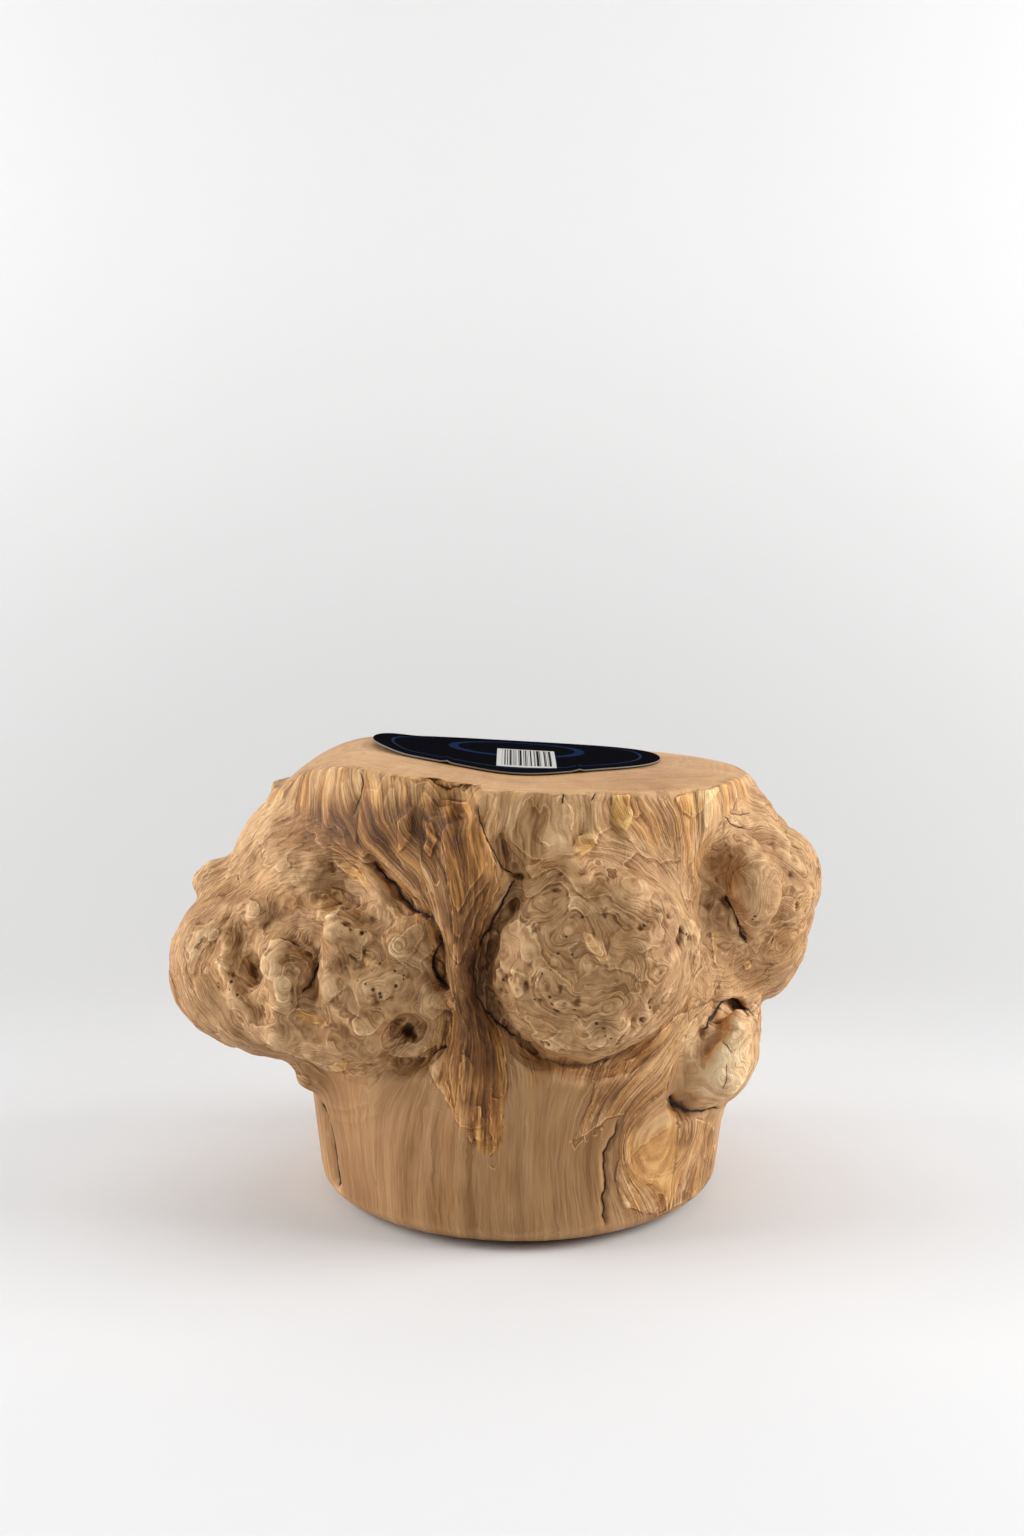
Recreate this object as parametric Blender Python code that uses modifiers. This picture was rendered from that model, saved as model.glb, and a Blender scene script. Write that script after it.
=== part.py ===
"""A coffee wood chew for dogs: one lump of root wood full of burls, sawn at both ends, and its round sticker.

The stump stands on its lower sawn end, with the side that shows its two big burls to the front, at -Y.
Places on the wall are given as (azimuth, height): the azimuth in degrees from the front, growing to the
right, and the height in millimetres above the base. All sizes are in millimetres and are scaled to metres
where a mesh is made.
"""

import math

import bmesh
import bpy
import numpy as np
from mathutils import Matrix, Vector, noise
from mathutils.bvhtree import BVHTree

MM = 0.001

# Driving dimensions
STICKER_DIAMETER = 63.5
STICKER_THICKNESS = 0.35
STICKER_GAP = 0.3
STICKER_SIDES = 60
STICKER_RINGS = 6
BASE_RADIUS = 42.2
WAIST_RADIUS = 46.5
SHOULDER_RADIUS = 50.5
STUMP_DEPTH_SHARE = 1.03
STUMP_SHIFT = (1.5, -0.8)

# The upper sawn face is a plane, lower towards the right. It falls off at its rim, to the back and at its
# left end, and dips a little at the front
FACE_HEIGHT = 97.2
FACE_CENTRE = (1.0, 0.0)
FACE_SLOPE = -0.057
FACE_FLAT_RADIUS = 38.0
FACE_RIM_RADIUS = 60.0
FACE_RIM_SPAN = 14.0
FACE_LEFT_START = -30.0
FACE_LEFT_FALL = 0.02
FACE_LEFT_SPAN = 20.0
FACE_BACK_FALL = 0.0017
FACE_DIP_PLACE = (1.0, -38.0)
FACE_DIP_RADIUS = 14.0
FACE_DIP_DEPTH = 1.7

# How the skin is worked
VOXEL = 1.1
BLEND_PASSES = 12
RIM_ROUNDING = 2.0
MOST_TRIANGLES = 9800
RAY_START = 140.0

# The trunk's profile as (radius, height), from the base to the top
TRUNK_PROFILE = [
    (BASE_RADIUS, 0.0),
    (43.6, 1.2),
    (44.6, 4.0),
    (44.9, 8.0),
    (45.6, 14.0),
    (WAIST_RADIUS, 22.0),
    (47.6, 32.0),
    (48.8, 46.0),
    (49.8, 60.0),
    (SHOULDER_RADIUS, 74.0),
    (SHOULDER_RADIUS, 84.0),
    (49.8, 91.0),
    (48.4, 97.0),
    (46.5, 101.0),
    (43.0, 103.0),
]

# Each burl as name: (centre, radii, lean about Y in degrees)
BURLS = {
    "left_inner": ((-27.5, -30.5, 54.5), (22.0, 19.5, 21.0), 0.0),
    "left_middle": ((-41.0, -24.5, 53.5), (20.0, 20.0, 19.5), 0.0),
    "left_outer": ((-50.0, -14.0, 52.5), (24.5, 23.0, 20.5), 8.0),
    "left_brow": ((-36.0, -20.0, 70.0), (19.0, 20.0, 15.0), 0.0),
    "left_shoulder": ((-45.5, -8.0, 70.0), (16.5, 20.0, 18.0), 0.0),
    "left_rim": ((-38.0, -2.0, 84.0), (16.0, 22.0, 14.0), 0.0),
    "left_ear": ((-64.0, -6.0, 69.5), (7.0, 6.5, 5.0), 0.0),
    "left_lip": ((-41.5, -18.0, 31.0), (6.0, 9.0, 6.0), 0.0),
    "middle": ((14.0, -38.0, 61.5), (24.2, 22.0, 22.8), 0.0),
    "middle_brow": ((13.0, -36.0, 75.0), (17.0, 14.0, 13.0), 0.0),
    "right_shoulder": ((39.0, -4.0, 80.0), (19.5, 22.0, 13.0), 0.0),
    "right_high": ((47.0, -7.0, 68.0), (20.5, 22.0, 18.5), 0.0),
    "right_under": ((46.0, -4.0, 57.5), (19.5, 20.0, 16.0), 0.0),
    "right_inner_dome": ((45.5, -23.0, 70.5), (10.0, 12.0, 13.5), 0.0),
    "right_flank": ((36.0, -8.0, 37.5), (19.0, 27.0, 21.5), 0.0),
    "right_nodule": ((42.5, -30.0, 36.5), (7.5, 8.5, 11.5), 22.0),
    "back_left": ((-30.0, 30.0, 58.0), (24.0, 22.0, 22.0), 0.0),
    "back_left_low": ((-36.0, 22.0, 40.0), (15.0, 17.0, 13.0), 0.0),
    "back_right": ((26.0, 34.0, 44.0), (24.0, 20.0, 20.0), 0.0),
    "back_high": ((14.0, 36.0, 74.0), (17.0, 15.0, 12.0), 0.0),
    "back_side": ((46.0, 20.0, 54.0), (15.0, 17.0, 15.0), 0.0),
}

# Each knob as (azimuth, height, radius, rise); a negative rise is a hollow
KNOBS = [
    # the left burl's eyes and folds
    (-58.5, 67.6, 4.4, 2.6),
    (-48.5, 61.0, 4.4, 3.0),
    (-45.2, 55.5, 4.8, 3.6),
    (-46.3, 50.8, 3.4, 1.8),
    (-37.5, 66.5, 4.2, 2.4),
    (-32.5, 65.0, 3.8, 1.8),
    (-26.0, 64.0, 4.0, 2.2),
    (-27.0, 56.5, 7.5, 2.4),
    (-17.5, 53.2, 3.8, 3.0),
    (-32.5, 46.5, 6.5, 2.4),
    (-19.5, 67.0, 5.0, 2.2),
    (-66.0, 57.0, 8.0, 1.6),
    (-51.0, 44.5, 6.0, 2.0),
    (-42.8, 41.5, 6.5, 1.8),
    (-53.5, 57.0, 3.2, -3.6),
    (-24.0, 47.0, 3.2, -4.2),
    (-40.0, 73.5, 6.0, -2.6),
    # the middle burl
    (23.5, 75.8, 5.0, 2.0),
    (14.0, 79.5, 4.4, 1.5),
    (37.0, 67.0, 4.0, 1.6),
    (32.0, 72.8, 4.0, 1.3),
    (17.2, 48.4, 4.8, 1.8),
    (10.0, 45.6, 4.0, 1.5),
    (24.0, 49.5, 4.4, 1.4),
    (2.0, 61.0, 5.5, 1.4),
    (14.0, 66.0, 7.0, -1.4),
    # the right burls
    (57.0, 73.5, 6.5, 2.8),
    (69.0, 70.0, 7.0, 1.8),
    (70.0, 81.0, 5.0, 1.4),
    (51.5, 78.0, 5.0, -2.8),
]

# Each crevice as (width, depth, [(azimuth, height), ...]); a negative depth is a ridge
CREVICES = [
    # right of the left burl, and on below it
    (1.7, 3.6, [(-36.0, 81.0), (-30.6, 76.3), (-25.5, 72.6), (-20.0, 70.8), (-16.0, 68.2)]),
    (1.7, 3.8, [(-18.0, 69.8), (-15.4, 64.2), (-16.6, 59.5), (-15.2, 54.6), (-14.8, 49.5)]),
    (1.7, 3.2, [(-14.8, 52.0), (-16.0, 44.4), (-21.0, 40.0), (-31.0, 37.0)]),
    # round the middle burl, from its upper left
    (1.7, 3.6, [(-4.5, 88.5), (1.6, 78.5), (0.0, 73.8), (-4.0, 68.7), (-6.6, 62.6)]),
    (1.7, 3.8, [(-5.8, 65.5), (-6.8, 56.4), (-3.8, 49.8), (1.0, 44.4), (8.0, 40.2)]),
    (1.7, 3.6, [(3.5, 42.0), (18.7, 38.2), (30.3, 40.2), (36.5, 47.2)]),
    (1.7, 3.2, [(34.0, 44.0), (39.5, 55.6), (41.0, 63.5), (40.0, 71.0)]),
    # the right lobe's inner crack, and over and under the nodule below it
    (1.5, 3.0, [(51.0, 74.0), (53.2, 67.4), (55.5, 63.5), (60.5, 59.5)]),
    (1.8, 4.2, [(45.5, 37.0), (48.0, 42.0), (52.1, 46.2), (57.2, 48.2), (66.0, 44.0)]),
    (1.6, 3.2, [(40.5, 30.5), (44.0, 27.0), (50.0, 24.6), (56.0, 25.2), (61.0, 28.0)]),
    # folds of the left burl
    (2.4, 2.2, [(-42.5, 69.0), (-41.3, 64.0), (-41.2, 59.0), (-41.0, 51.0)]),
    (2.4, 1.8, [(-56.5, 66.0), (-55.5, 60.0), (-53.5, 52.0), (-49.0, 47.0)]),
    (2.0, -2.0, [(-37.5, 71.5), (-38.0, 67.0), (-36.5, 63.0), (-37.3, 58.0), (-37.0, 52.0)]),
    (2.4, -1.6, [(-63.0, 69.0), (-60.5, 62.0), (-58.5, 55.0), (-54.0, 47.0)]),
    # the raised tongue of bark between the two burls
    (4.4, -2.2, [(-10.3, 96.0), (-10.5, 83.5), (-11.2, 63.4), (-10.0, 42.8), (-7.0, 22.0)]),
    # the broken place in the upper rim
    (2.4, 3.4, [(-20.0, 98.0), (-16.0, 95.0), (-14.0, 91.0)]),
    (2.0, 2.8, [(-8.0, 98.5), (-10.5, 94.0), (-12.0, 88.0)]),
    # the far side
    (1.6, 2.8, [(150.0, 78.0), (158.0, 68.0), (160.0, 56.0), (166.0, 44.0), (178.0, 36.0)]),
    (1.6, 2.6, [(205.0, 76.0), (200.0, 66.0), (203.0, 52.0), (212.0, 40.0), (228.0, 36.0)]),
]

# The burls of the far side carry knobs too, scattered by a seeded draw
BACK_AZIMUTHS = (88.0, 272.0)
BACK_HEIGHTS = (32.0, 84.0)
BACK_KNOBS = 34
SEED = 7


def clear_scene():
    for obj in list(bpy.data.objects):
        bpy.data.objects.remove(obj, do_unlink=True)


def make_collection(name):
    made = bpy.data.collections.new(name)
    bpy.context.scene.collection.children.link(made)
    return made


def make_material(name, colour, roughness):
    made = bpy.data.materials.new(name)
    made.use_nodes = True
    shader = made.node_tree.nodes["Principled BSDF"]
    shader.inputs["Base Color"].default_value = (*colour, 1.0)
    shader.inputs["Roughness"].default_value = roughness
    shader.inputs["Metallic"].default_value = 0.0
    return made


def baked(obj):
    """The object's evaluated mesh as a mesh of its own; the object is removed."""
    bpy.context.view_layer.update()
    graph = bpy.context.evaluated_depsgraph_get()
    mesh = bpy.data.meshes.new_from_object(obj.evaluated_get(graph))
    mesh.transform(obj.matrix_world)
    bpy.data.objects.remove(obj, do_unlink=True)
    return mesh


def linked(name, mesh):
    obj = bpy.data.objects.new(name, mesh)
    bpy.context.scene.collection.objects.link(obj)
    return obj


def read_points(mesh):
    points = np.empty(len(mesh.vertices) * 3, np.float32)
    mesh.vertices.foreach_get("co", points)
    return points.reshape(-1, 3).astype(float) / MM


def read_normals(mesh):
    normals = np.empty(len(mesh.vertices) * 3, np.float32)
    mesh.vertices.foreach_get("normal", normals)
    return normals.reshape(-1, 3).astype(float)


def write_points(mesh, points):
    mesh.vertices.foreach_set("co", (points * MM).astype(np.float32).ravel())
    mesh.update()


def trunk_mesh():
    """The stump without its burls: a turned solid, a little deeper than it is wide."""
    outline = [(0.0, TRUNK_PROFILE[-1][1]), *reversed(TRUNK_PROFILE), (0.0, 0.0)]
    mesh = bpy.data.meshes.new("trunk_profile")
    corners = [(radius * MM, 0.0, height * MM) for radius, height in outline]
    edges = [(i, i + 1) for i in range(len(corners) - 1)]
    mesh.from_pydata(corners, edges, [])
    obj = linked("trunk_profile", mesh)
    turn = obj.modifiers.new("turn", "SCREW")
    turn.steps = 72
    turn.render_steps = 72
    turn.use_merge_vertices = True
    turn.merge_threshold = 0.00005
    turn.use_normal_calculate = True
    obj.scale = (1.0, STUMP_DEPTH_SHARE, 1.0)
    obj.location = (STUMP_SHIFT[0] * MM, STUMP_SHIFT[1] * MM, 0.0)
    return baked(obj)


def burl_matrix(centre, radii, lean):
    place = Matrix.Translation(Vector(centre) * MM)
    turn = Matrix.Rotation(math.radians(lean), 4, "Y")
    size = Matrix.Diagonal((*(Vector(radii) * MM), 1.0))
    return place @ turn @ size


def fused_lump():
    """Trunk and burls fused by a voxel remesh and blended into each other."""
    shape = bmesh.new()
    shape.from_mesh(trunk_mesh())
    for centre, radii, lean in BURLS.values():
        bmesh.ops.create_uvsphere(
            shape, u_segments=40, v_segments=24, radius=1.0, matrix=burl_matrix(centre, radii, lean)
        )
    mesh = bpy.data.meshes.new("lump")
    shape.to_mesh(mesh)
    shape.free()
    obj = linked("lump", mesh)
    fuse = obj.modifiers.new("fuse", "REMESH")
    fuse.mode = "VOXEL"
    fuse.voxel_size = VOXEL * MM
    blend = obj.modifiers.new("blend", "SMOOTH")
    blend.factor = 0.5
    blend.iterations = BLEND_PASSES
    return baked(obj)


def smooth_step(low, high, value):
    share = np.clip((value - low) / (high - low), 0.0, 1.0)
    return share * share * (3.0 - 2.0 * share)


def burl_share(points):
    """1 where a point lies on a burl, 0 on the trunk."""
    nearest = np.full(len(points), 9.0)
    for centre, radii, lean in BURLS.values():
        back = np.array(burl_matrix(centre, radii, lean).inverted())
        local = (points * MM) @ back[:3, :3].T + back[:3, 3]
        nearest = np.minimum(nearest, np.linalg.norm(local, axis=1))
    return 1.0 - smooth_step(0.98, 1.22, nearest)


def lumps(points, pitch, stretch=1.0):
    """Smooth noise between -1 and 1 with bumps about pitch millimetres apart, stretched along the grain."""
    scale = (1.0 / pitch, 1.0 / pitch, 1.0 / (pitch * stretch))
    return np.array([noise.noise((x * scale[0], y * scale[1], z * scale[2])) for x, y, z in points])


def face_plane(x, y):
    back = np.maximum(y - FACE_CENTRE[1], 0.0)
    return FACE_HEIGHT + FACE_SLOPE * (x - FACE_CENTRE[0]) - FACE_BACK_FALL * back * back


def face_dip(x, y):
    """How far the face dips at the front, where the rim is broken."""
    squared = (x - FACE_DIP_PLACE[0]) ** 2 + (y - FACE_DIP_PLACE[1]) ** 2
    return FACE_DIP_DEPTH * np.exp(-squared / FACE_DIP_RADIUS**2)


def face_height(x, y):
    """Height of the upper sawn face."""
    radius = np.hypot(x - FACE_CENTRE[0], y - FACE_CENTRE[1])
    out = np.clip(radius - FACE_FLAT_RADIUS, 0.0, FACE_RIM_SPAN)
    left = np.clip(FACE_LEFT_START - x, 0.0, FACE_LEFT_SPAN)
    rim_fall = out * out / (2.0 * FACE_RIM_RADIUS)
    return face_plane(x, y) - rim_fall - FACE_LEFT_FALL * left * left - face_dip(x, y)


def lower_of(a, b, rounding):
    """The smaller of two heights, with the edge between them rounded."""
    share = np.clip(0.5 + 0.5 * (b - a) / rounding, 0.0, 1.0)
    return b + (a - b) * share - rounding * share * (1.0 - share)


class Wall:
    """Finds places on the lump's side from (azimuth, height)."""

    def __init__(self, mesh):
        shape = bmesh.new()
        shape.from_mesh(mesh)
        self.tree = BVHTree.FromBMesh(shape)
        shape.free()

    def point(self, azimuth, height):
        angle = math.radians(azimuth)
        out = Vector((math.sin(angle), -math.cos(angle), 0.0))
        start = (out * RAY_START + Vector((0.0, 0.0, height))) * MM
        hit = self.tree.ray_cast(start, -out)[0]
        return np.array(hit) / MM

    def line(self, places, step=2.0):
        """Points on the wall about step millimetres apart along the given places."""
        found = []
        for (azimuth_a, height_a), (azimuth_b, height_b) in zip(places, places[1:]):
            leg = np.linalg.norm(self.point(azimuth_b, height_b) - self.point(azimuth_a, height_a))
            count = max(1, round(leg / step))
            for share in np.arange(count) / count:
                azimuth = azimuth_a + (azimuth_b - azimuth_a) * share
                height = height_a + (height_b - height_a) * share
                found.append(self.point(azimuth, height))
        found.append(self.point(*places[-1]))
        return np.array(found)


def distance_to_line(points, line):
    """Distance from each point to a polyline, and how far along the line the nearest place is, 0 to 1."""
    nearest = np.full(len(points), 1e9)
    along = np.zeros(len(points))
    for i, (start, end) in enumerate(zip(line, line[1:])):
        leg = end - start
        share = np.clip((points - start) @ leg / max(leg @ leg, 1e-9), 0.0, 1.0)
        gap = np.linalg.norm(points - (start + share[:, None] * leg), axis=1)
        closer = gap < nearest
        nearest = np.where(closer, gap, nearest)
        along = np.where(closer, (i + share) / (len(line) - 1), along)
    return nearest, along


def boss(gap, radius):
    """1 in the middle of a knob, falling to 0 just outside its radius, steeper than a bell."""
    return np.exp(-((gap / radius) ** 3))


def back_knobs():
    """Knobs for the far side, larger ones first."""
    draw = np.random.default_rng(SEED)
    azimuths = draw.uniform(*BACK_AZIMUTHS, BACK_KNOBS)
    heights = draw.uniform(*BACK_HEIGHTS, BACK_KNOBS)
    radii = np.linspace(7.0, 3.0, BACK_KNOBS)
    return [(a, h, r, 0.42 * r) for a, h, r in zip(azimuths, heights, radii)]


def worked_skin(mesh):
    """Adds the knobs, lumps and crevices to the fused lump, and saws its two ends flat."""
    points, normals = read_points(mesh), read_normals(mesh)
    wall = Wall(mesh)
    on_burl = burl_share(points)
    rise = on_burl * (2.2 * np.abs(lumps(points, 12.0)) + 1.2 * np.abs(lumps(points, 6.0)) - 0.8)
    bark = (1.0 - on_burl) * smooth_step(30.0, 60.0, points[:, 2])
    rise += bark * lumps(points, 4.0, stretch=5.0)
    for azimuth, height, radius, knob_rise in KNOBS:
        gap = np.linalg.norm(points - wall.point(azimuth, height), axis=1)
        rise += knob_rise * boss(gap, radius)
    for azimuth, height, radius, knob_rise in back_knobs():
        gap = np.linalg.norm(points - wall.point(azimuth, height), axis=1)
        rise += knob_rise * boss(gap, radius) * on_burl
    for width, depth, places in CREVICES:
        gap, along = distance_to_line(points, wall.line(places))
        fade = smooth_step(0.0, 0.12, along) * (1.0 - smooth_step(0.88, 1.0, along))
        rise -= depth * fade * np.exp(-((gap / width) ** 2))
    points += normals * rise[:, None]
    top = face_height(points[:, 0], points[:, 1])
    points[:, 2] = lower_of(points[:, 2], top, RIM_ROUNDING)
    points[:, 2] = np.maximum(points[:, 2], 0.0)
    write_points(mesh, points)
    return mesh


def lighter(mesh):
    """The same skin with few enough triangles for a solid, and its base exactly flat."""
    obj = linked("lighter", mesh)
    split = obj.modifiers.new("split", "TRIANGULATE")
    split.min_vertices = 4
    thin = obj.modifiers.new("thin", "DECIMATE")
    thin.ratio = MOST_TRIANGLES / (2.0 * len(mesh.polygons))
    mesh = baked(obj)
    points = read_points(mesh)
    points[points[:, 2] < 0.05, 2] = 0.0
    write_points(mesh, points)
    return mesh


def centring_shift(mesh):
    """How far to move the lump so that its box is centred on the Z axis and stands on the floor."""
    points = read_points(mesh)
    low, high = points.min(axis=0), points.max(axis=0)
    return np.array([-(low[0] + high[0]) / 2.0, -(low[1] + high[1]) / 2.0, -low[2]])


def sticker_mesh():
    """The round sticker as an open sheet on the upper sawn face: flat, but bent down into the front dip."""
    mesh = bpy.data.meshes.new("sticker_radius")
    radii = np.linspace(0.0, STICKER_DIAMETER / 2.0, STICKER_RINGS + 1)
    edges = [(i, i + 1) for i in range(STICKER_RINGS)]
    mesh.from_pydata([(radius * MM, 0.0, 0.0) for radius in radii], edges, [])
    obj = linked("sticker_radius", mesh)
    turn = obj.modifiers.new("turn", "SCREW")
    turn.steps = STICKER_SIDES
    turn.render_steps = STICKER_SIDES
    turn.use_merge_vertices = True
    turn.merge_threshold = 0.00005
    mesh = baked(obj)
    points = read_points(mesh)
    points[:, 0] += FACE_CENTRE[0]
    x, y = points[:, 0], points[:, 1]
    points[:, 2] = face_plane(x, y) - face_dip(x, y) + STICKER_GAP
    write_points(mesh, points)
    return mesh


def finished(name, mesh, material, shift, collection):
    write_points(mesh, read_points(mesh) + shift)
    mesh.name = name
    mesh.shade_smooth()
    mesh.materials.clear()
    mesh.materials.append(material)
    obj = bpy.data.objects.new(name, mesh)
    collection.objects.link(obj)
    return obj


def build():
    clear_scene()
    parts = make_collection("coffee_wood_chew")
    wood = make_material("wood", (0.60, 0.40, 0.22), 0.7)
    paper = make_material("sticker_paper", (0.012, 0.014, 0.035), 0.42)
    root = lighter(worked_skin(fused_lump()))
    shift = centring_shift(root)
    finished("root_wood", root, wood, shift, parts)
    sticker = finished("sticker", sticker_mesh(), paper, shift, parts)
    thicken = sticker.modifiers.new("thicken", "SOLIDIFY")
    thicken.thickness = STICKER_THICKNESS * MM
    thicken.offset = 1.0
    return shift


FRAME_SHIFT = build()
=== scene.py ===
"""Dresses the coffee wood chew: the fine relief of its wood, its round sticker, the studio and the camera.

Lengths are in millimetres until a mesh is written. Relief is worked out in the stump's own frame, whose
axis runs up the middle of the trunk; AXIS says where that axis stands in the part's frame. Places on the
front of the stump are named by the pixel of the photograph that shows them.
"""

import math

import bmesh
import bpy
import numpy as np
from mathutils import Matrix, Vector, kdtree
from mathutils.bvhtree import BVHTree


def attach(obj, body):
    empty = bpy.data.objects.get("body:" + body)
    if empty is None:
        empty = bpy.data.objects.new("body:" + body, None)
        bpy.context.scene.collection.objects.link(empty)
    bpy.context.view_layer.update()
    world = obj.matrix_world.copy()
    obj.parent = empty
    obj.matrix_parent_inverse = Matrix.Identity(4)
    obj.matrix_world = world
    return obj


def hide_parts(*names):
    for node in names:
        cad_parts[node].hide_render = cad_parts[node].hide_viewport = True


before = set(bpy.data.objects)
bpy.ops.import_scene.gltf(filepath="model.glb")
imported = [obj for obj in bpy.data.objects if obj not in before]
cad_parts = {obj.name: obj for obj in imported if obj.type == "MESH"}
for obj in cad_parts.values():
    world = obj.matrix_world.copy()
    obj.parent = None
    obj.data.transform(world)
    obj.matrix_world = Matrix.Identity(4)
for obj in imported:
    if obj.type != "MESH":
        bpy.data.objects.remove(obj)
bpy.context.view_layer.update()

MM = 0.001
AXIS = np.array([3.234, 2.949, 0])
TRUNK_RADIUS = 48

# The photograph's camera, in the stump's frame
PHOTO_WIDTH, PHOTO_HEIGHT = 1024, 1536
FOCAL_PIXELS = 1750
CAMERA_PITCH = math.radians(7.1)
SINE, COSINE = math.sin(CAMERA_PITCH), math.cos(CAMERA_PITCH)
CAMERA_PLACE = np.array([0, -386, 141.5])
SENSOR = 36

# The upper sawn face, as the solid has it
FACE_HEIGHT = 97.2
FACE_CENTRE = (1, 0)
FACE_SLOPE = -0.057
FACE_FLAT_RADIUS = 38
FACE_RIM_RADIUS = 60
FACE_RIM_SPAN = 14
FACE_LEFT_START = -30
FACE_LEFT_FALL = 0.02
FACE_LEFT_SPAN = 20
FACE_BACK_FALL = 0.0017
FACE_DIP_PLACE = (1, -38)
FACE_DIP_RADIUS = 14
FACE_DIP_DEPTH = 1.7
RIM_ROUNDING = 2

# The fine skin
VOXEL = 0.58
TOP_SPARE = 2.5
MOST_TRIANGLES = 196000
SANDED_BELOW = (32, 42)
BASE_ROUNDING = 5
BASE_INSET = 7

# The lump's round forms, as (centre, radii)
BURLS = [
    ((-27.5, -30.5, 54.5), (22, 19.5, 21)), ((-41, -24.5, 53.5), (20, 20, 19.5)),
    ((-50, -14, 52.5), (24.5, 23, 20.5)), ((-36, -20, 70), (19, 20, 15)),
    ((14, -38, 61.5), (24.2, 22, 22.8)), ((47, -7, 68), (20.5, 22, 18.5)),
    ((46, -4, 57.5), (19.5, 20, 16)), ((45.5, -23, 70.5), (10, 12, 13.5)),
    ((42.5, -30, 36.5), (7.5, 8.5, 11.5)), ((-30, 30, 58), (24, 22, 22)), ((-36, 22, 40), (15, 17, 13)),
    ((26, 34, 44), (24, 20, 20)), ((14, 36, 74), (17, 15, 12)), ((46, 20, 54), (15, 17, 15)),
]

# What the grain flows round, on the unrolled wall, as (azimuth, height, radius)
GRAIN_KNOTS = [
    (-44, 56, 23), (14, 62, 20), (62, 68, 17), (54, 37, 9), (39, 22, 9), (-120, 42, 13), (-135, 58, 20),
    (114, 54, 14), (142, 46, 18), (160, 74, 12),
]

# Where the grain leans, as (azimuth, height, half width, half height, lean); a positive lean falls to
# the right
GRAIN_SWEEPS = [
    (-35, 80, 26, 16, 0.9),
    (38, 38, 18, 18, -0.9),
]

# What a distance starts from where nothing is near
FAR = 9.0

# Small knobs that the photograph shows, as (pixel, half width, half height, lean in degrees, rise)
KNOBS = [
    ((212, 928), 2, 3.4, 10, 1.5), ((260, 910), 2.5, 2.5, 0, 1.4), ((281, 957), 3.2, 4.2, 5, 1.3),
    ((284, 990), 2, 3.2, 0, 1.4), ((299, 972), 1.3, 2.2, 0, 1.1), ((307, 966), 1.2, 1.8, 0, 1.1),
    ((346, 928), 2.1, 1.9, 0, 1.1), ((362, 937), 1.7, 2.3, 20, 1.2), ((397, 946), 2.2, 2.2, 0, 1),
    ((341, 986), 1.9, 2.8, 0, 1), ((368, 990), 2.8, 2.4, 0, 0.9), ((392, 985), 2.7, 2.4, 0, 0.8),
    ((446, 1000), 2.6, 1.7, 20, 1.4), ((360, 1030), 2.6, 2.6, 0, 0.9), ((406, 1054), 2.4, 1.8, 0, 0.8),
    ((288, 1044), 4.6, 3.6, 0, 1.2), ((428, 1046), 3.4, 3, 0, 0.8), ((194, 945), 1.6, 3, 0, 0.9),
    ((229, 945), 1.4, 2.6, 15, 0.9), ((626, 896), 4.3, 3.7, 0, 1.5), ((580, 876), 2.2, 3.7, -10, 0.9),
    ((572, 905), 1.9, 1.8, 0, 0.8), ((538, 926), 2.2, 1.8, 0, 0.8), ((596, 948), 3.2, 1.2, 50, 0.7),
    ((664, 912), 1.8, 2.2, 0, 0.8), ((656, 935), 1.6, 1.6, 0, 0.7), ((620, 1028), 2.6, 2.2, 0, 0.9),
    ((602, 1040), 1.8, 1.8, 0, 0.9), ((586, 1030), 1.6, 2, 0, 0.8), ((568, 1036), 1.2, 1.2, 0, 0.6),
    ((548, 1043), 2.4, 1.6, 0, 0.8), ((644, 1018), 1.8, 1.4, 0, 0.9), ((664, 996), 1.6, 1.6, 0, 0.8),
    ((545, 984), 1.5, 3, -15, 0.8), ((515, 986), 1.3, 3.2, -5, 0.7), ((562, 1004), 1.8, 1.8, 0, 0.6),
    ((580, 1002), 1.7, 1.4, 0, 0.6), ((765, 893), 5.6, 8.6, -8, 2), ((785, 842), 3.4, 2.4, -30, 0.8),
    ((742, 824), 3, 1.8, -10, 0.9), ((735, 915), 1.6, 3.4, -15, 0.7), ((622, 1206), 1.5, 1.2, 0, 0.6),
]

# Pits and holes, as (pixel, half width, half height, lean in degrees, depth), and how deep one must be for
# its painted shade to be full
FULL_PIT = 1.5
PITS = [
    ((254, 970), 0.6, 1.5, -15, 1), ((408, 1030), 1, 1.3, 0, 2.4), ((400, 1022), 0.6, 0.6, 0, 1.3),
    ((414, 1036), 0.6, 0.9, 0, 1.3), ((518, 876), 0.9, 0.6, 20, 1.6), ((512, 907), 0.5, 1.2, 0, 1.2),
    ((436, 965), 0.5, 1.1, 0, 1.1), ((343, 925), 0.5, 0.5, 0, 0.9), ((350, 930), 0.5, 0.4, 0, 0.8),
    ((362, 935), 0.5, 0.7, 0, 0.9), ((682, 930), 0.5, 0.9, 0, 1.2), ((690, 938), 0.5, 0.6, 0, 1),
    ((668, 917), 0.5, 0.6, 0, 0.9), ((546, 1043), 1, 0.6, 0, 1), ((640, 928), 0.6, 0.6, 0, 0.8),
    ((504, 977), 0.6, 1.6, -10, 0.9), ((494, 974), 0.5, 1.4, 0, 0.7), ((526, 985), 0.6, 1.6, -15, 0.9),
    ((556, 1012), 0.7, 0.7, 0, 0.9), ((642, 1020), 0.7, 0.5, 0, 1), ((651, 1002), 0.5, 0.7, 0, 0.9),
    ((739, 1006), 2.2, 1.2, 10, 2.6), ((716, 1018), 1.4, 1.1, 30, 1.6),
    ((703, 1034), 0.8, 1.3, -20, 1.1), ((746, 1014), 1.3, 0.5, -15, 1.6), ((727, 905), 0.9, 2, -20, 1),
]
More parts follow.
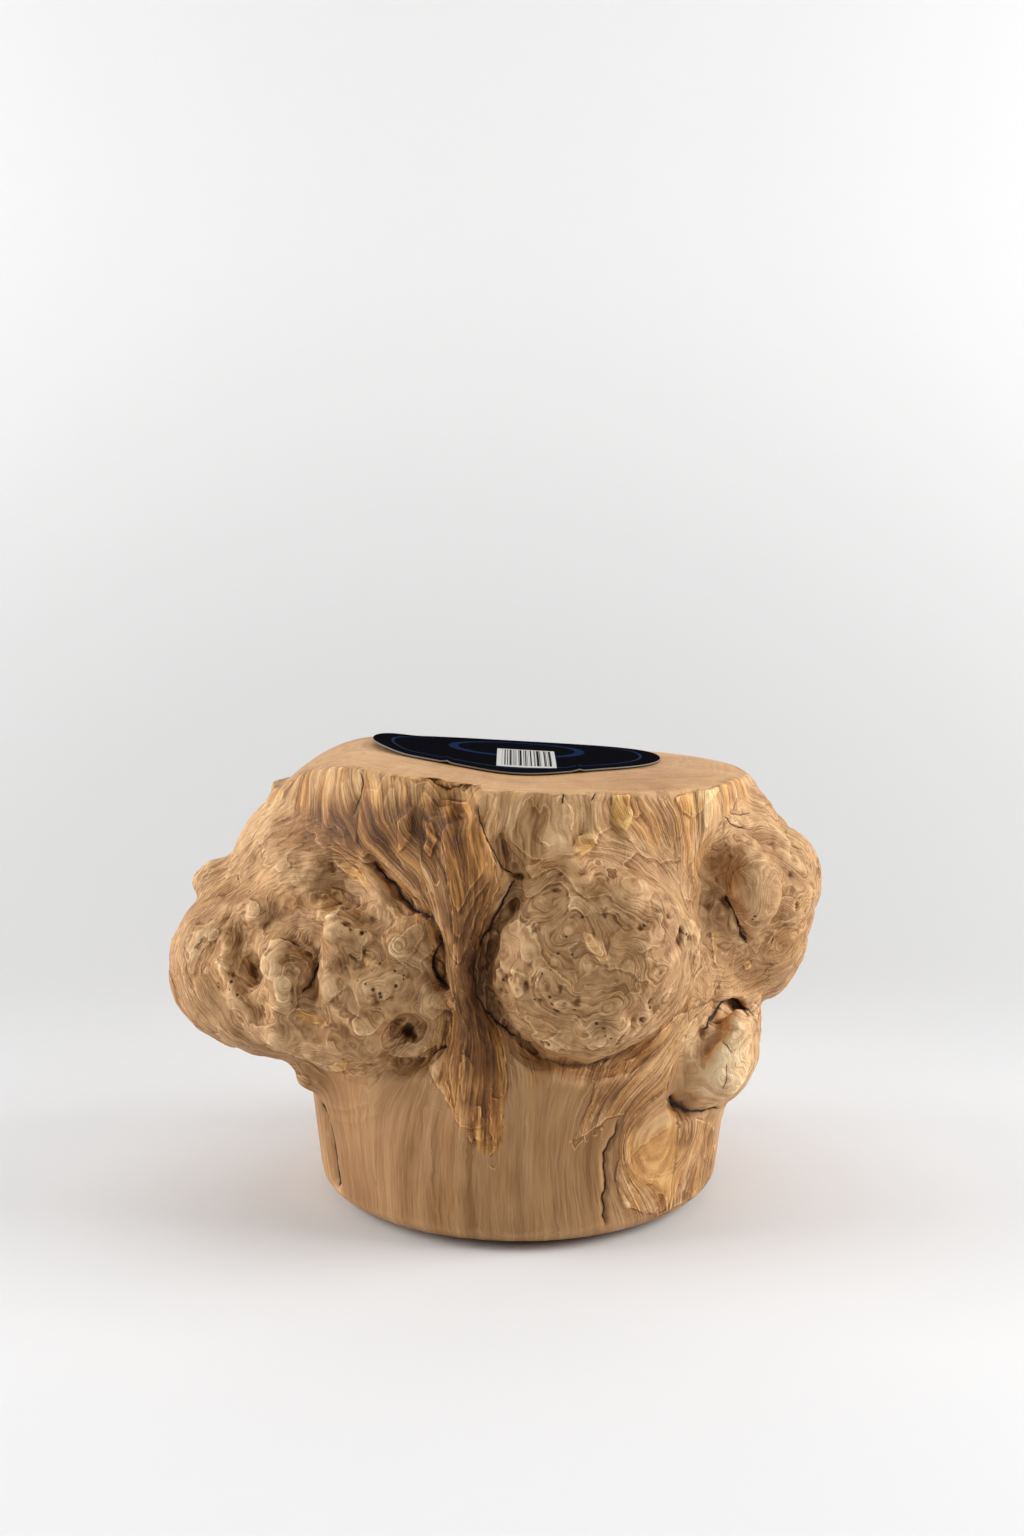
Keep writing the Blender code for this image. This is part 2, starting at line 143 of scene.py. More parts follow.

# How deep a crack is cut for its depth, its slimmest groove, and how wide its painted line of shade is for
# its width
CRACK_CUT, CRACK_SLIMMEST, CRACK_DRAWN = 0.45, 0.55, 0.55
# Crevices and cracks, as (half width, depth, how dark its painted shade is, pixels); a negative depth is a
# ridge
CRACKS = [
    (0.6, 2.2, 1, [(371, 861), (384, 874), (398, 890), (412, 906), (428, 915), (438, 926)]),
    (0.6, 1.8, 1, [(438, 926), (441, 945), (436, 960), (438, 975), (449, 990)]),
    (0.5, 1.4, 0.8, [(450, 1008), (451, 1025), (447, 1045), (430, 1056)]),
    (0.4, 1.1, 0.9, [(476, 804), (480, 820), (486, 834), (496, 852), (504, 866), (518, 875)]),
    (0.6, 1.6, 1, [(518, 877), (510, 893), (500, 912), (486, 936), (479, 951)]),
    (0.5, 1, 0.6, [(478, 951), (475, 970), (477, 992), (488, 1012), (504, 1026), (520, 1042)]),
    (0.5, 0.6, 0.3, [
        (520, 1042), (542, 1058), (570, 1066), (590, 1065), (612, 1058), (640, 1040), (670, 1014),
    ]),
    (0.6, 2, 1, [(724, 893), (732, 908), (738, 922), (742, 932), (749, 946)]),
    (0.9, 1.8, 0.7, [(703, 1036), (712, 1018), (722, 1004), (738, 1000), (752, 1008), (757, 1020)]),
    (0.6, 1.8, 1, [(666, 1094), (674, 1104), (687, 1110), (703, 1112), (722, 1108)]),
    (0.4, 1.6, 1, [(620, 1114), (616, 1134), (604, 1154), (607, 1182), (604, 1198), (606, 1230)]),
    (1.8, 3, 1, [(319, 1101), (324, 1114), (328, 1128), (331, 1144), (333, 1160), (338, 1190)]),
    (0.4, 1.1, 1, [(418, 767), (430, 771), (435, 780), (449, 790), (453, 786), (460, 786), (465, 772)]),
    (0.3, 0.5, 0.6, [(722, 1041), (727, 1046), (731, 1054)]),
    (0.3, 0.5, 0.5, [(727, 1062), (728, 1081), (722, 1090)]),
    (0.5, 1.2, 0.9, [(272, 941), (280, 938), (292, 940), (300, 946)]),
    (0.5, 1.4, 0.8, [(318, 962), (313, 978), (309, 988), (300, 993)]),
    (0.4, 0.8, 0.6, [(597, 781), (595, 792), (592, 802)]),
    (0.4, 0.8, 0.6, [(561, 780), (564, 792), (562, 806)]),
    (0.5, 0.8, 0.5, [(359, 768), (362, 784), (358, 800), (352, 818)]),
    (0.4, 0.8, 0.7, [(724, 815), (730, 820), (736, 826), (744, 827)]),
    (0.3, 0.5, 0.5, [(730, 812), (740, 815), (752, 812)]),
    (0.4, 0.7, 0.4, [(184, 936), (184, 956), (188, 976), (194, 990)]),
    (0.6, -0.5, 0, [(322, 1104), (345, 1109), (374, 1101)]),
    (0.6, -0.4, 0, [(328, 1116), (352, 1122), (384, 1112)]),
    (0.9, -1.3, 0, [(341, 914), (332, 930), (334, 950), (328, 968), (330, 986), (333, 1004)]),
    (0.6, -0.6, 0, [(325, 938), (321, 960), (320, 984), (327, 1002), (342, 1012), (358, 1013)]),
    (0.9, -0.9, 0, [(222, 948), (226, 972), (234, 992), (246, 1010), (256, 1030), (266, 1046)]),
    (0.6, -0.6, 0, [(256, 944), (250, 926), (249, 905), (260, 896), (280, 893), (296, 882), (310, 874)]),
    (0.5, -0.5, 0, [(428, 912), (440, 925), (446, 950), (447, 975), (455, 1000), (453, 1040)]),
    (0.7, -0.6, 0, [(514, 900), (500, 922), (484, 944), (477, 960)]),
    (0.5, -0.5, 0, [(699, 1026), (708, 1009), (720, 1000), (735, 996), (748, 1001)]),
    (0.6, -0.7, 0, [(694, 912), (700, 925), (698, 940), (692, 955)]),
]

# Flakes and flat patches, as (tone, step, corners in pixels), and how far from their edges the painted
# highlight and painted shade reach
EDGE_PIXELS = 5
FLAKES = [
    (0.25, 0.4, [
        (316, 916), (322, 894), (331, 896), (331, 888), (341, 890), (351, 906), (340, 911), (334, 918),
        (324, 921),
    ]),
    (0.9, -0.2, [(296, 1006), (304, 1012), (320, 1018), (330, 1027), (310, 1024), (298, 1019)]),
    (0.7, 0.2, [(336, 864), (352, 867), (364, 874), (370, 889), (362, 885), (350, 877)]),
    (0.9, 0.2, [(365, 952), (369, 952), (369, 964), (366, 965)]),
    (0.7, 0.3, [(328, 1066), (347, 1058), (346, 1070), (336, 1071)]),
    (0.5, 0.2, [(471, 1108), (480, 1105), (484, 1125), (483, 1142), (475, 1140)]),
    (0.5, 0.2, [(489, 1096), (500, 1100), (503, 1128), (497, 1146), (490, 1130)]),
    (0.2, 0.2, [(426, 1060), (437, 1066), (446, 1082), (455, 1110), (444, 1100), (434, 1080)]),
    (0.9, 0.5, [(424, 819), (432, 822), (437, 840), (431, 858), (425, 850), (428, 836)]),
    (0.7, 0.5, [(611, 794), (628, 790), (632, 812), (625, 832), (614, 824)]),
    (0.3, 0.4, [(676, 798), (700, 788), (716, 782), (719, 790), (704, 806), (692, 818), (684, 812)]),
    (0.6, 0.4, [(398, 822), (412, 808), (411, 838), (399, 852)]),
    (0.7, 0.5, [(572, 852), (577, 836), (591, 833), (599, 843), (590, 850), (580, 857)]),
    (0.4, 0.3, [(582, 932), (592, 935), (602, 950), (607, 962), (600, 964), (590, 952)]),
    (0.9, 0.2, [(742, 962), (749, 960), (752, 968), (745, 971)]),
    (0.6, 0.3, [(711, 930), (722, 932), (716, 944), (716, 962), (721, 974), (713, 960)]),
]

COLUMN = [
    (440, 800), (444, 860), (450, 905), (456, 950), (456, 1000), (444, 1050), (437, 1082), (450, 1108),
    (459, 1126), (472, 1144), (488, 1158), (501, 1144), (503, 1105), (508, 1076), (502, 1040),
    (484, 1012), (474, 985), (474, 955), (482, 930), (498, 890), (498, 866), (484, 834), (472, 804),
]
BARK_TONGUE = [
    (704, 962), (672, 1022), (640, 1054), (614, 1068), (597, 1085), (588, 1110), (573, 1141),
    (590, 1132), (606, 1118), (624, 1114), (620, 1140), (616, 1180), (622, 1206), (660, 1216),
    (700, 1194), (717, 1160), (713, 1125), (680, 1112), (664, 1096), (678, 1050), (692, 1022),
    (712, 998), (722, 975),
]
FACE_WEDGE = [(478, 770), (485, 788), (494, 796), (503, 786), (515, 781), (515, 768)]
FACE_APRON = [
    (505, 768), (515, 781), (544, 784), (567, 785), (597, 781), (632, 793), (670, 797), (696, 790),
    (722, 777), (700, 760), (600, 760),
]

# Where small dark pores gather, as (pixel, radius in pixels)
PORES = [
    ((384, 985), 30), ((346, 928), 9), ((362, 936), 9), ((235, 985), 22), ((688, 942), 16),
    ((668, 913), 11), ((550, 990), 24), ((580, 1003), 16), ((562, 948), 20), ((584, 914), 13),
    ((546, 1044), 9), ((600, 1036), 22), ((646, 1014), 14), ((760, 916), 14), ((790, 884), 14),
    ((802, 905), 20), ((640, 927), 9), ((440, 1002), 8), ((284, 1000), 10), ((398, 947), 6),
    ((504, 980), 12), ((810, 870), 16),
]

# Smooth places with little relief, as (pixel, half width and half height in pixels, how smooth)
CALM_PLACES = [
    ((716, 1063), 40, 50, 0.95), ((762, 898), 32, 46, 0.85), ((626, 898), 20, 18, 0.7),
    ((290, 1044), 22, 18, 0.7), ((390, 990), 32, 24, 0.5), ((345, 800), 90, 40, 0.6),
    ((560, 1120), 90, 60, 0.6), ((668, 1160), 60, 60, 0.6), ((714, 930), 18, 70, 0.7),
    ((725, 985), 44, 24, 0.8),
]

# Darker and lighter places, as (pixel, half width and half height in pixels, change in lightness): the
# wood's own tone mixed with painted light and shade
# Painted shadow at the right of the sawn face, painted light on the nodule low on the right and on the
# left shoulder
STAINS_AND_PAINTED_LIGHT = [
    ((440, 815), 36, 46, -0.12), ((370, 828), 80, 30, -0.40), ((570, 1160), 50, 60, -0.05),
    ((476, 910), 24, 60, -0.12), ((474, 1010), 24, 90, -0.28), ((668, 1165), 50, 50, -0.06),
    ((650, 750), 60, 30, -0.10), ((262, 822), 36, 34, 0.20), ((765, 890), 40, 44, -0.08),
    ((735, 985), 36, 22, 0.08), ((705, 795), 34, 22, 0.12), ((600, 850), 40, 20, 0.06),
    ((300, 880), 60, 24, 0.08), ((720, 1060), 36, 46, 0.42), ((590, 950), 90, 90, -0.06),
    ((620, 1130), 60, 90, -0.06), ((300, 960), 50, 60, 0.04),
]


def smooth_step(low, high, value):
    share = np.clip((value - low) / (high - low), 0, 1)
    return share * share * (3 - 2 * share)


def unit(vectors):
    return vectors / np.linalg.norm(vectors, axis=-1, keepdims=True)


def hump(value, power=2):
    """1 at nothing, falling to nothing past 1."""
    return np.exp(-(value**power))


def linked(name, data):
    obj = bpy.data.objects.new(name, data)
    bpy.context.scene.collection.objects.link(obj)
    return obj


def mesh_of(name, shape):
    mesh = bpy.data.meshes.new(name)
    shape.to_mesh(mesh)
    shape.free()
    return mesh


def baked(obj):
    """The object's evaluated mesh as a mesh of its own; the object is removed."""
    bpy.context.view_layer.update()
    graph = bpy.context.evaluated_depsgraph_get()
    mesh = bpy.data.meshes.new_from_object(obj.evaluated_get(graph))
    bpy.data.objects.remove(obj, do_unlink=True)
    return mesh


def read_vectors(mesh, field):
    values = np.empty(len(mesh.vertices) * 3, np.float32)
    mesh.vertices.foreach_get(field, values)
    return values.reshape(-1, 3).astype(float)


def read_points(mesh):
    """The mesh's points in the stump's frame, in millimetres."""
    return read_vectors(mesh, "co") / MM - AXIS


def write_points(mesh, points):
    mesh.vertices.foreach_set("co", ((points + AXIS) * MM).astype(np.float32).ravel())
    mesh.update()


# Noise


def lattice_hash(x, y, z, seed):
    """A well mixed whole number for each corner of the noise lattice."""
    mixed = x * 374761393 + y * 668265263 + z * 2147483647 + seed * 144665
    mixed = (mixed ^ (mixed >> 13)) * 1274126177
    mixed = (mixed ^ (mixed >> 16)) * 2246822519
    return (mixed ^ (mixed >> 15)) & 0xFFFF


SLOPES = unit(np.random.default_rng(11).normal(size=(64, 3)))


def noise(places, seed):
    """Gradient noise, about -1 to 1, with bumps one unit apart."""
    cell = np.floor(places).astype(np.int64)
    inner = places - cell
    fade = inner**3 * (inner * (inner * 6 - 15) + 10)
    total = np.zeros(len(places))
    for corner in np.ndindex(2, 2, 2):
        at = cell + corner
        slope = SLOPES[lattice_hash(at[:, 0], at[:, 1], at[:, 2], seed) % 64]
        weight = np.prod(np.where(corner, fade, 1 - fade), axis=1)
        total += weight * ((inner - corner) * slope).sum(axis=1)
    return 1.6 * total


def waves(places, *layers):
    """The sum of layers of noise, each as (strength, size, seed)."""
    return sum(strength * noise(places / size, seed) for strength, size, seed in layers)


# The skin of the lump


def face_height(points):
    """Height of the upper sawn face over or under each point."""
    x, y = points[:, 0], points[:, 1]
    radius = np.hypot(x - FACE_CENTRE[0], y - FACE_CENTRE[1])
    out = np.clip(radius - FACE_FLAT_RADIUS, 0, FACE_RIM_SPAN)
    left = np.clip(FACE_LEFT_START - x, 0, FACE_LEFT_SPAN)
    rim_fall = out * out / (2 * FACE_RIM_RADIUS)
    return face_plane(x, y) - rim_fall - FACE_LEFT_FALL * left * left - face_dip(x, y)


def face_plane(x, y):
    back = np.maximum(y - FACE_CENTRE[1], 0)
    return FACE_HEIGHT + FACE_SLOPE * (x - FACE_CENTRE[0]) - FACE_BACK_FALL * back * back


def face_dip(x, y):
    squared = (x - FACE_DIP_PLACE[0]) ** 2 + (y - FACE_DIP_PLACE[1]) ** 2
    return FACE_DIP_DEPTH * np.exp(-squared / FACE_DIP_RADIUS**2)


def lower_of(a, b, rounding):
    """The smaller of two heights, with the edge between them rounded."""
    share = np.clip(0.5 + 0.5 * (b - a) / rounding, 0, 1)
    return b + (a - b) * share - rounding * share * (1 - share)


def fine_copy(node):
    """The solid's skin without its facets, as small even quads. Its top is drawn up, to be sawn again."""
    shape = bmesh.new()
    shape.from_mesh(node.data)
    bmesh.ops.remove_doubles(shape, verts=shape.verts, dist=0.000001)
    mesh = mesh_of("wood_cage", shape)
    points = read_points(mesh)
    near_top = smooth_step(-8, -1, points[:, 2] - face_height(points))
    points[:, 2] += TOP_SPARE * near_top
    write_points(mesh, points)
    obj = linked("wood_cage", mesh)
    soften = obj.modifiers.new("soften", "SUBSURF")
    soften.levels = 2
    soften.render_levels = 2
    skin = obj.modifiers.new("skin", "REMESH")
    skin.mode = "VOXEL"
    skin.voxel_size = VOXEL * MM
    return baked(obj)


class Skin:
    """The fine mesh as arrays, with its neighbours along edges."""

    def __init__(self, mesh):
        self.mesh = mesh
        self.points = read_points(mesh)
        edges = np.empty(len(mesh.edges) * 2, np.int32)
        mesh.edges.foreach_get("vertices", edges)
        self.edges = edges.reshape(-1, 2)
        self.degree = np.bincount(edges, minlength=len(self.points))
        self.normals = unit(self.smoothed(read_vectors(mesh, "normal"), 3))
        shape = bmesh.new()
        shape.from_mesh(mesh)
        self.tree = BVHTree.FromBMesh(shape)
        shape.free()
        self.spots, self.facing = self.on_photo()

    def on_photo(self):
        """Where each point appears in the photograph, and how squarely it faces the camera, 0 to 1."""
        offset = self.points - CAMERA_PLACE
        depth = offset[:, 1] * COSINE - offset[:, 2] * SINE
        up = offset[:, 1] * SINE + offset[:, 2] * COSINE
        across = PHOTO_WIDTH / 2 + FOCAL_PIXELS * offset[:, 0] / depth
        down = PHOTO_HEIGHT / 2 - FOCAL_PIXELS * up / depth
        facing = -(self.normals * unit(offset)).sum(axis=1)
        return np.stack([across, down], axis=1), smooth_step(0.05, 0.2, facing)

    def smoothed(self, values, passes):
        flat = values.reshape(len(values), -1).copy()
        a, b = self.edges[:, 0], self.edges[:, 1]
        for _ in range(passes):
            for column in range(flat.shape[1]):
                v = flat[:, column]
                around = np.bincount(a, v[b], len(v)) + np.bincount(b, v[a], len(v))
                flat[:, column] = 0.5 * v + 0.5 * around / self.degree
        return flat.reshape(values.shape)

    def steepness(self, values):
        """How fast a value changes over the skin, per millimetre."""
        a, b = self.edges[:, 0], self.edges[:, 1]
        gap = np.linalg.norm(self.points[a] - self.points[b], axis=1)
        slope = np.abs(values[a] - values[b]) / np.maximum(gap, 0.05)
        steepest = np.zeros(len(values))
        np.maximum.at(steepest, a, slope)
        np.maximum.at(steepest, b, slope)
        return self.smoothed(steepest, 3)

    def patch(self, spots, outline, soft):
        """1 on the front of the skin inside an outline, and 0 outside it."""
        return self.facing * smooth_step(-soft, soft, inside_outline(spots, outline))

    def seen(self, pixel):
        """The place on the skin that the photograph shows at a pixel."""
        across = (pixel[0] - PHOTO_WIDTH / 2) / FOCAL_PIXELS
        up = (PHOTO_HEIGHT / 2 - pixel[1]) / FOCAL_PIXELS
        ray = Vector((across, COSINE + up * SINE, up * COSINE - SINE))
        start = Vector((CAMERA_PLACE + AXIS) * MM)
        hit = self.tree.ray_cast(start, ray.normalized())[0]
        return None if hit is None else np.array(hit) / MM - AXIS

    def line_seen(self, pixels, step=6):
        """Places on the skin about step pixels apart along a line in the photograph."""
        found = []
        for start, end in zip(pixels, pixels[1:]):
            count = max(1, round(math.dist(start, end) / step))
            for share in np.arange(count) / count:
                found.append(self.seen([a + (b - a) * share for a, b in zip(start, end)]))
        found.append(self.seen(pixels[-1]))
        return np.array([place for place in found if place is not None])

    def round_form(self, pixel, across, along, lean):
        """The points near a place, and how far out each lies in an oval form round it: 1 is its rim."""
        centre = self.seen(pixel)
        reach = 2.2 * max(across, along)
        near = np.flatnonzero((np.abs(self.points - centre) < reach).all(axis=1))
        local = self.points[near] - centre
        normal = unit(self.normals[near[np.argmin((local**2).sum(axis=1))]])
        side = unit(np.cross((0, 0, 1), normal))
        up = np.cross(normal, side)
        turn = math.radians(lean)
        u, v = local @ side, local @ up
        a = (u * math.cos(turn) - v * math.sin(turn)) / across
        b = (u * math.sin(turn) + v * math.cos(turn)) / along
        depth = (local @ normal) / (2.5 * max(across, along))
        return near, np.sqrt(a * a + b * b + depth * depth)


def nearest_on_leg(places, start, leg):
    """How far along a leg the nearest place on it is, 0 to 1, and how far away."""
    share = np.clip((places - start) @ leg / max(leg @ leg, 1e-9), 0, 1)
    return share, np.linalg.norm(places - (start + share[:, None] * leg), axis=1)


def distance_to_line(points, normals, line, reach):
    """How far each point is from a line of places, at most reach, how far along it, and on which side."""
    nearest = np.full(len(points), reach)
    along = np.zeros(len(points))
    side = np.ones(len(points))
    low, high = line.min(axis=0) - reach, line.max(axis=0) + reach
    near = np.flatnonzero(((points > low) & (points < high)).all(axis=1))
    close = points[near]
    for i, (start, end) in enumerate(zip(line, line[1:])):
        leg = end - start
        share, gap = nearest_on_leg(close, start, leg)
        closer = gap < nearest[near]
        nearest[near] = np.where(closer, gap, nearest[near])
        along[near] = np.where(closer, (i + share) / (len(line) - 1), along[near])
        turn = (np.cross(leg, normals[near]) * (close - start)).sum(axis=1)
        side[near] = np.where(closer, np.sign(turn), side[near])
    return nearest, along, side


def inside_oval(spots, pixel, across, down):
    """1 in the middle of an oval in the photograph, falling to nothing past its rim."""
    local = (spots - pixel) / (across, down)
    return np.exp(-((local**2).sum(axis=1) ** 1.5))


def inside_outline(spots, outline):
    """Distance from each spot to an outline, in pixels, positive inside it."""
    outline = np.array(outline, float)
    nearest = np.full(len(spots), 60.0)
    inside = np.zeros(len(spots), bool)
    low, high = outline.min(axis=0) - 60, outline.max(axis=0) + 60
    near = np.flatnonzero(((spots > low) & (spots < high)).all(axis=1))
    close = spots[near]
    for start, end in zip(outline, np.roll(outline, -1, axis=0)):
        leg = end - start
        nearest[near] = np.minimum(nearest[near], nearest_on_leg(close, start, leg)[1])
        spans = (start[1] > close[:, 1]) != (end[1] > close[:, 1])
        height = leg[1] if leg[1] else 1e-9
        crossing = start[0] + (close[:, 1] - start[1]) * leg[0] / height
        inside[near] ^= spans & (close[:, 0] < crossing)
    return np.where(inside, nearest, -nearest)


def depth_in_burls(points):
    """Signed distance to the smooth lump, and how much a point belongs to a burl, 0 to 1."""
    trunk = np.hypot(points[:, 0] - 1.5, points[:, 1] + 0.8) - TRUNK_RADIUS
    blend = 3
    total = np.exp(-trunk / blend)
    burls = np.zeros(len(points))
    for centre, radii in BURLS:
        local = (points - centre) / radii
        share = np.linalg.norm(local, axis=1)
        slope = np.linalg.norm(local / radii, axis=1)
        gap = np.clip(share * (share - 1) / np.maximum(slope, 1e-6), -30, 30)
        total += np.exp(-gap / blend)
        burls += np.exp(-gap / blend)
    return -blend * np.log(total), burls / total


def on_wall(points, azimuth, height):
    """How far round the wall and up each point is from a place."""
    turn = np.degrees(np.arctan2(points[:, 0], -points[:, 1])) - azimuth
    return np.radians((turn + 180) % 360 - 180) * TRUNK_RADIUS, points[:, 2] - height


def grain_places(points):
    """Places with the grain straightened: across it lies round the wall, along it is up."""
    across, _ = on_wall(points, 0, 0)
    for azimuth, height, radius in GRAIN_KNOTS:
        dx, dz = on_wall(points, azimuth, height)
        across -= 0.92 * dx * radius**2 / np.maximum(dx**2 + dz**2, radius**2)
    for azimuth, height, width, tall, lean in GRAIN_SWEEPS:
        dx, dz = on_wall(points, azimuth, height)
        across += lean * tall * np.tanh(dz / tall) * np.exp(-((dx / width) ** 2) - (dz / (2 * tall)) ** 2)
    wavy = smooth_step(26, 50, points[:, 2])
    across += wavy * waves(points, (1.5, 11, 81), (0.6, 4.5, 82))
    angle = across / TRUNK_RADIUS
    rolled = [TRUNK_RADIUS * np.sin(angle), -TRUNK_RADIUS * np.cos(angle), points[:, 2]]
    return np.stack(rolled, axis=1)


def ring_places(points):
    """Places by their distance from the middle of their burl, and that distance over its radius."""
    nearest = np.full(len(points), FAR)
    places = np.zeros(points.shape)
    for i, (azimuth, height, radius) in enumerate(GRAIN_KNOTS):
        angle = math.radians(azimuth)
        local = points - (0, 0, height)
        depth = local @ (math.sin(angle), -math.cos(angle), 0)
        gap = np.sqrt(np.maximum((local**2).sum(axis=1) - depth**2, 0))
        share = np.where(depth > 0, gap / radius, FAR)
        closer = share < nearest
        nearest = np.where(closer, share, nearest)
        along = points[:, 0] + 1.6 * points[:, 2]
        out = smooth_step(0.35, 0.8, share)
        across = out * (gap - radius) + (1 - out) * 8 * noise(points / 12, 74)
        ring = np.stack([across + 37 * i, np.zeros(len(points)), along], axis=1)
        places[closer] = ring[closer]
    return places, nearest


def growth_rings(points, burl, knobs):
    """Places along the lines of growth, which run round the middle of a burl and bend round its knobs."""
    ring, out_share = ring_places(points)
    outer = burl * smooth_step(0.3, 0.65, out_share)
    far_out = smooth_step(0.75, 1.1, out_share)
    warp = waves(points, (2.8, 8, 71), (1.2, 3.8, 72), (0.4, 1.9, 73))
    ring[:, 0] += (1 - 0.7 * far_out) * warp
    for (near, share), out in knobs:
        ring[near, 0] += 3 * out * hump(share)
    return ring, outer, far_out


def pore_clusters(skin, burl):
    """Where small pores gather: as the photograph shows, and by a rule on the other sides."""
    pores = np.zeros(len(burl))
    for pixel, radius in PORES:
        gap = np.linalg.norm(skin.spots - pixel, axis=1) / radius
        pores = np.maximum(pores, skin.facing * (1 - smooth_step(0.5, 1.1, gap)))
    behind = 1 - smooth_step(-20, 5, -skin.points[:, 1])
    elsewhere = behind * smooth_step(0.35, 0.6, noise(skin.points / 12, 61))
    return np.maximum(pores, burl * elsewhere)


def grooves(points, grain, fibrous):
    """Wide and slim grooves along the grain, 0 to 1."""
    wide = hump(noise(grain / (3, 3, 26), 9) / 0.09)
    slim = hump(noise(grain / (1.6, 1.6, 13), 10) / 0.10)
    rough = smooth_step(-0.3, 0.4, noise(points / 15, 11))
    return np.minimum(fibrous * np.maximum(wide, 0.6 * rough * slim), 1)


def add_knobs(points, knobs, rise, layer):
    """Raises the knobs. Returns how near each point is to the top of one."""
    eye = np.zeros(len(points))
    for (near, share), out in knobs:
        wobble = share * (1 + 0.2 * noise(points[near] / 2, 31))
        boss = hump(wobble, 2.4)
        moat = hump((wobble - 1.4) / 0.3)
        rise[near] += 0.8 * out * boss - 0.12 * out * moat
        layer[near] += 0.5 * out * hump(wobble)
        eye[near] = np.maximum(eye[near], boss)
    return eye


def add_pits(skin, rise):
    """Cuts the pits. Returns how deep in one each point lies, for the painted shade in them."""
    hole = np.zeros(len(rise))
    for *form, depth in PITS:
        near, share = skin.round_form(*form)
        wobble = share * (1 + 0.2 * noise(skin.points[near] / 1.2, 32))
        dent = hump(wobble, 2.5)
        rise[near] -= depth * dent
        hole[near] = np.maximum(hole[near], dent * min(1, depth / FULL_PIT))
    return hole


def add_flakes(skin, ragged, rise):
    """Raises the flakes. Returns how ochre each point is, and how many pixels it is from an edge."""
    ochre = np.zeros(len(rise))
    edge = np.full(len(rise), FAR)
    for tone, step, outline in [*FLAKES, (0, 0, COLUMN), (0, 0, BARK_TONGUE)]:
        inner = inside_outline(ragged, outline)
        cover = skin.facing * smooth_step(-1.5, 1.5, inner)
        rise += step * cover
        ochre = np.maximum(ochre, tone * cover)
        nearer = (skin.facing > 0.5) & (np.abs(inner) < np.abs(edge))
        edge = np.where(nearer, inner, edge)
    return ochre, edge


def add_cracks(skin, rise):
    """Cuts the cracks, which taper to their ends. Returns what the material reads of them to paint shade
    in them.
    """
    points = skin.points
    crack, nearest = np.full(len(points), FAR), np.full(len(points), FAR)
    dark = np.zeros(len(points))
    shaken = points + 0.35 * np.stack([noise(points / 1.9, 51 + i) for i in range(3)], axis=1)
    for width, depth, darkness, pixels in CRACKS:
        gap, along, side = distance_to_line(shaken, skin.normals, skin.line_seen(pixels), 5.0)
        fade = smooth_step(0, 0.1, along) * (1 - smooth_step(0.9, 1, along))
        rise -= CRACK_CUT * depth * fade * hump(gap / max(width, CRACK_SLIMMEST))
        if darkness > 0:
            closer = gap < nearest
            half_width = CRACK_DRAWN * width * (0.3 + 0.7 * fade)
            crack = np.where(closer, side * gap / half_width, crack)
            dark = np.where(closer, fade * darkness, dark)
            nearest = np.minimum(nearest, gap)
    return {"crack": crack, "crack_near": nearest, "crack_fade": dark}


def add_steps(skin, layer, tallest, still, rise):
    """Cuts the steps between growth layers. Returns how fast the layers change over the skin."""
    slope = skin.steepness(layer)
    rest = layer - np.floor(layer)
    past = (rest - 0.5) / np.maximum(slope, 0.02)
    saw = smooth_step(-0.45, 0.45, past) - rest
    spread = 1 - 0.6 * smooth_step(0.6, 1.4, slope)
    step = tallest * spread * still
    step *= smooth_step(-0.7, 0.1, noise(skin.points / 9, 26))
    rise += step * saw
    return slope


def saw_off(points):
    """Rounds the edge of the base and saws both ends flat. Returns how far under the face each is."""
    low = np.clip(1 - points[:, 2] / BASE_ROUNDING, 0, 1)
    points[:, :2] *= 1 - BASE_INSET / TRUNK_RADIUS * (1 - np.sqrt(1 - low**2))[:, None]
    top = face_height(points)
    points[:, 2] = np.maximum(lower_of(points[:, 2], top, RIM_ROUNDING), 0)
    return points[:, 2] - top


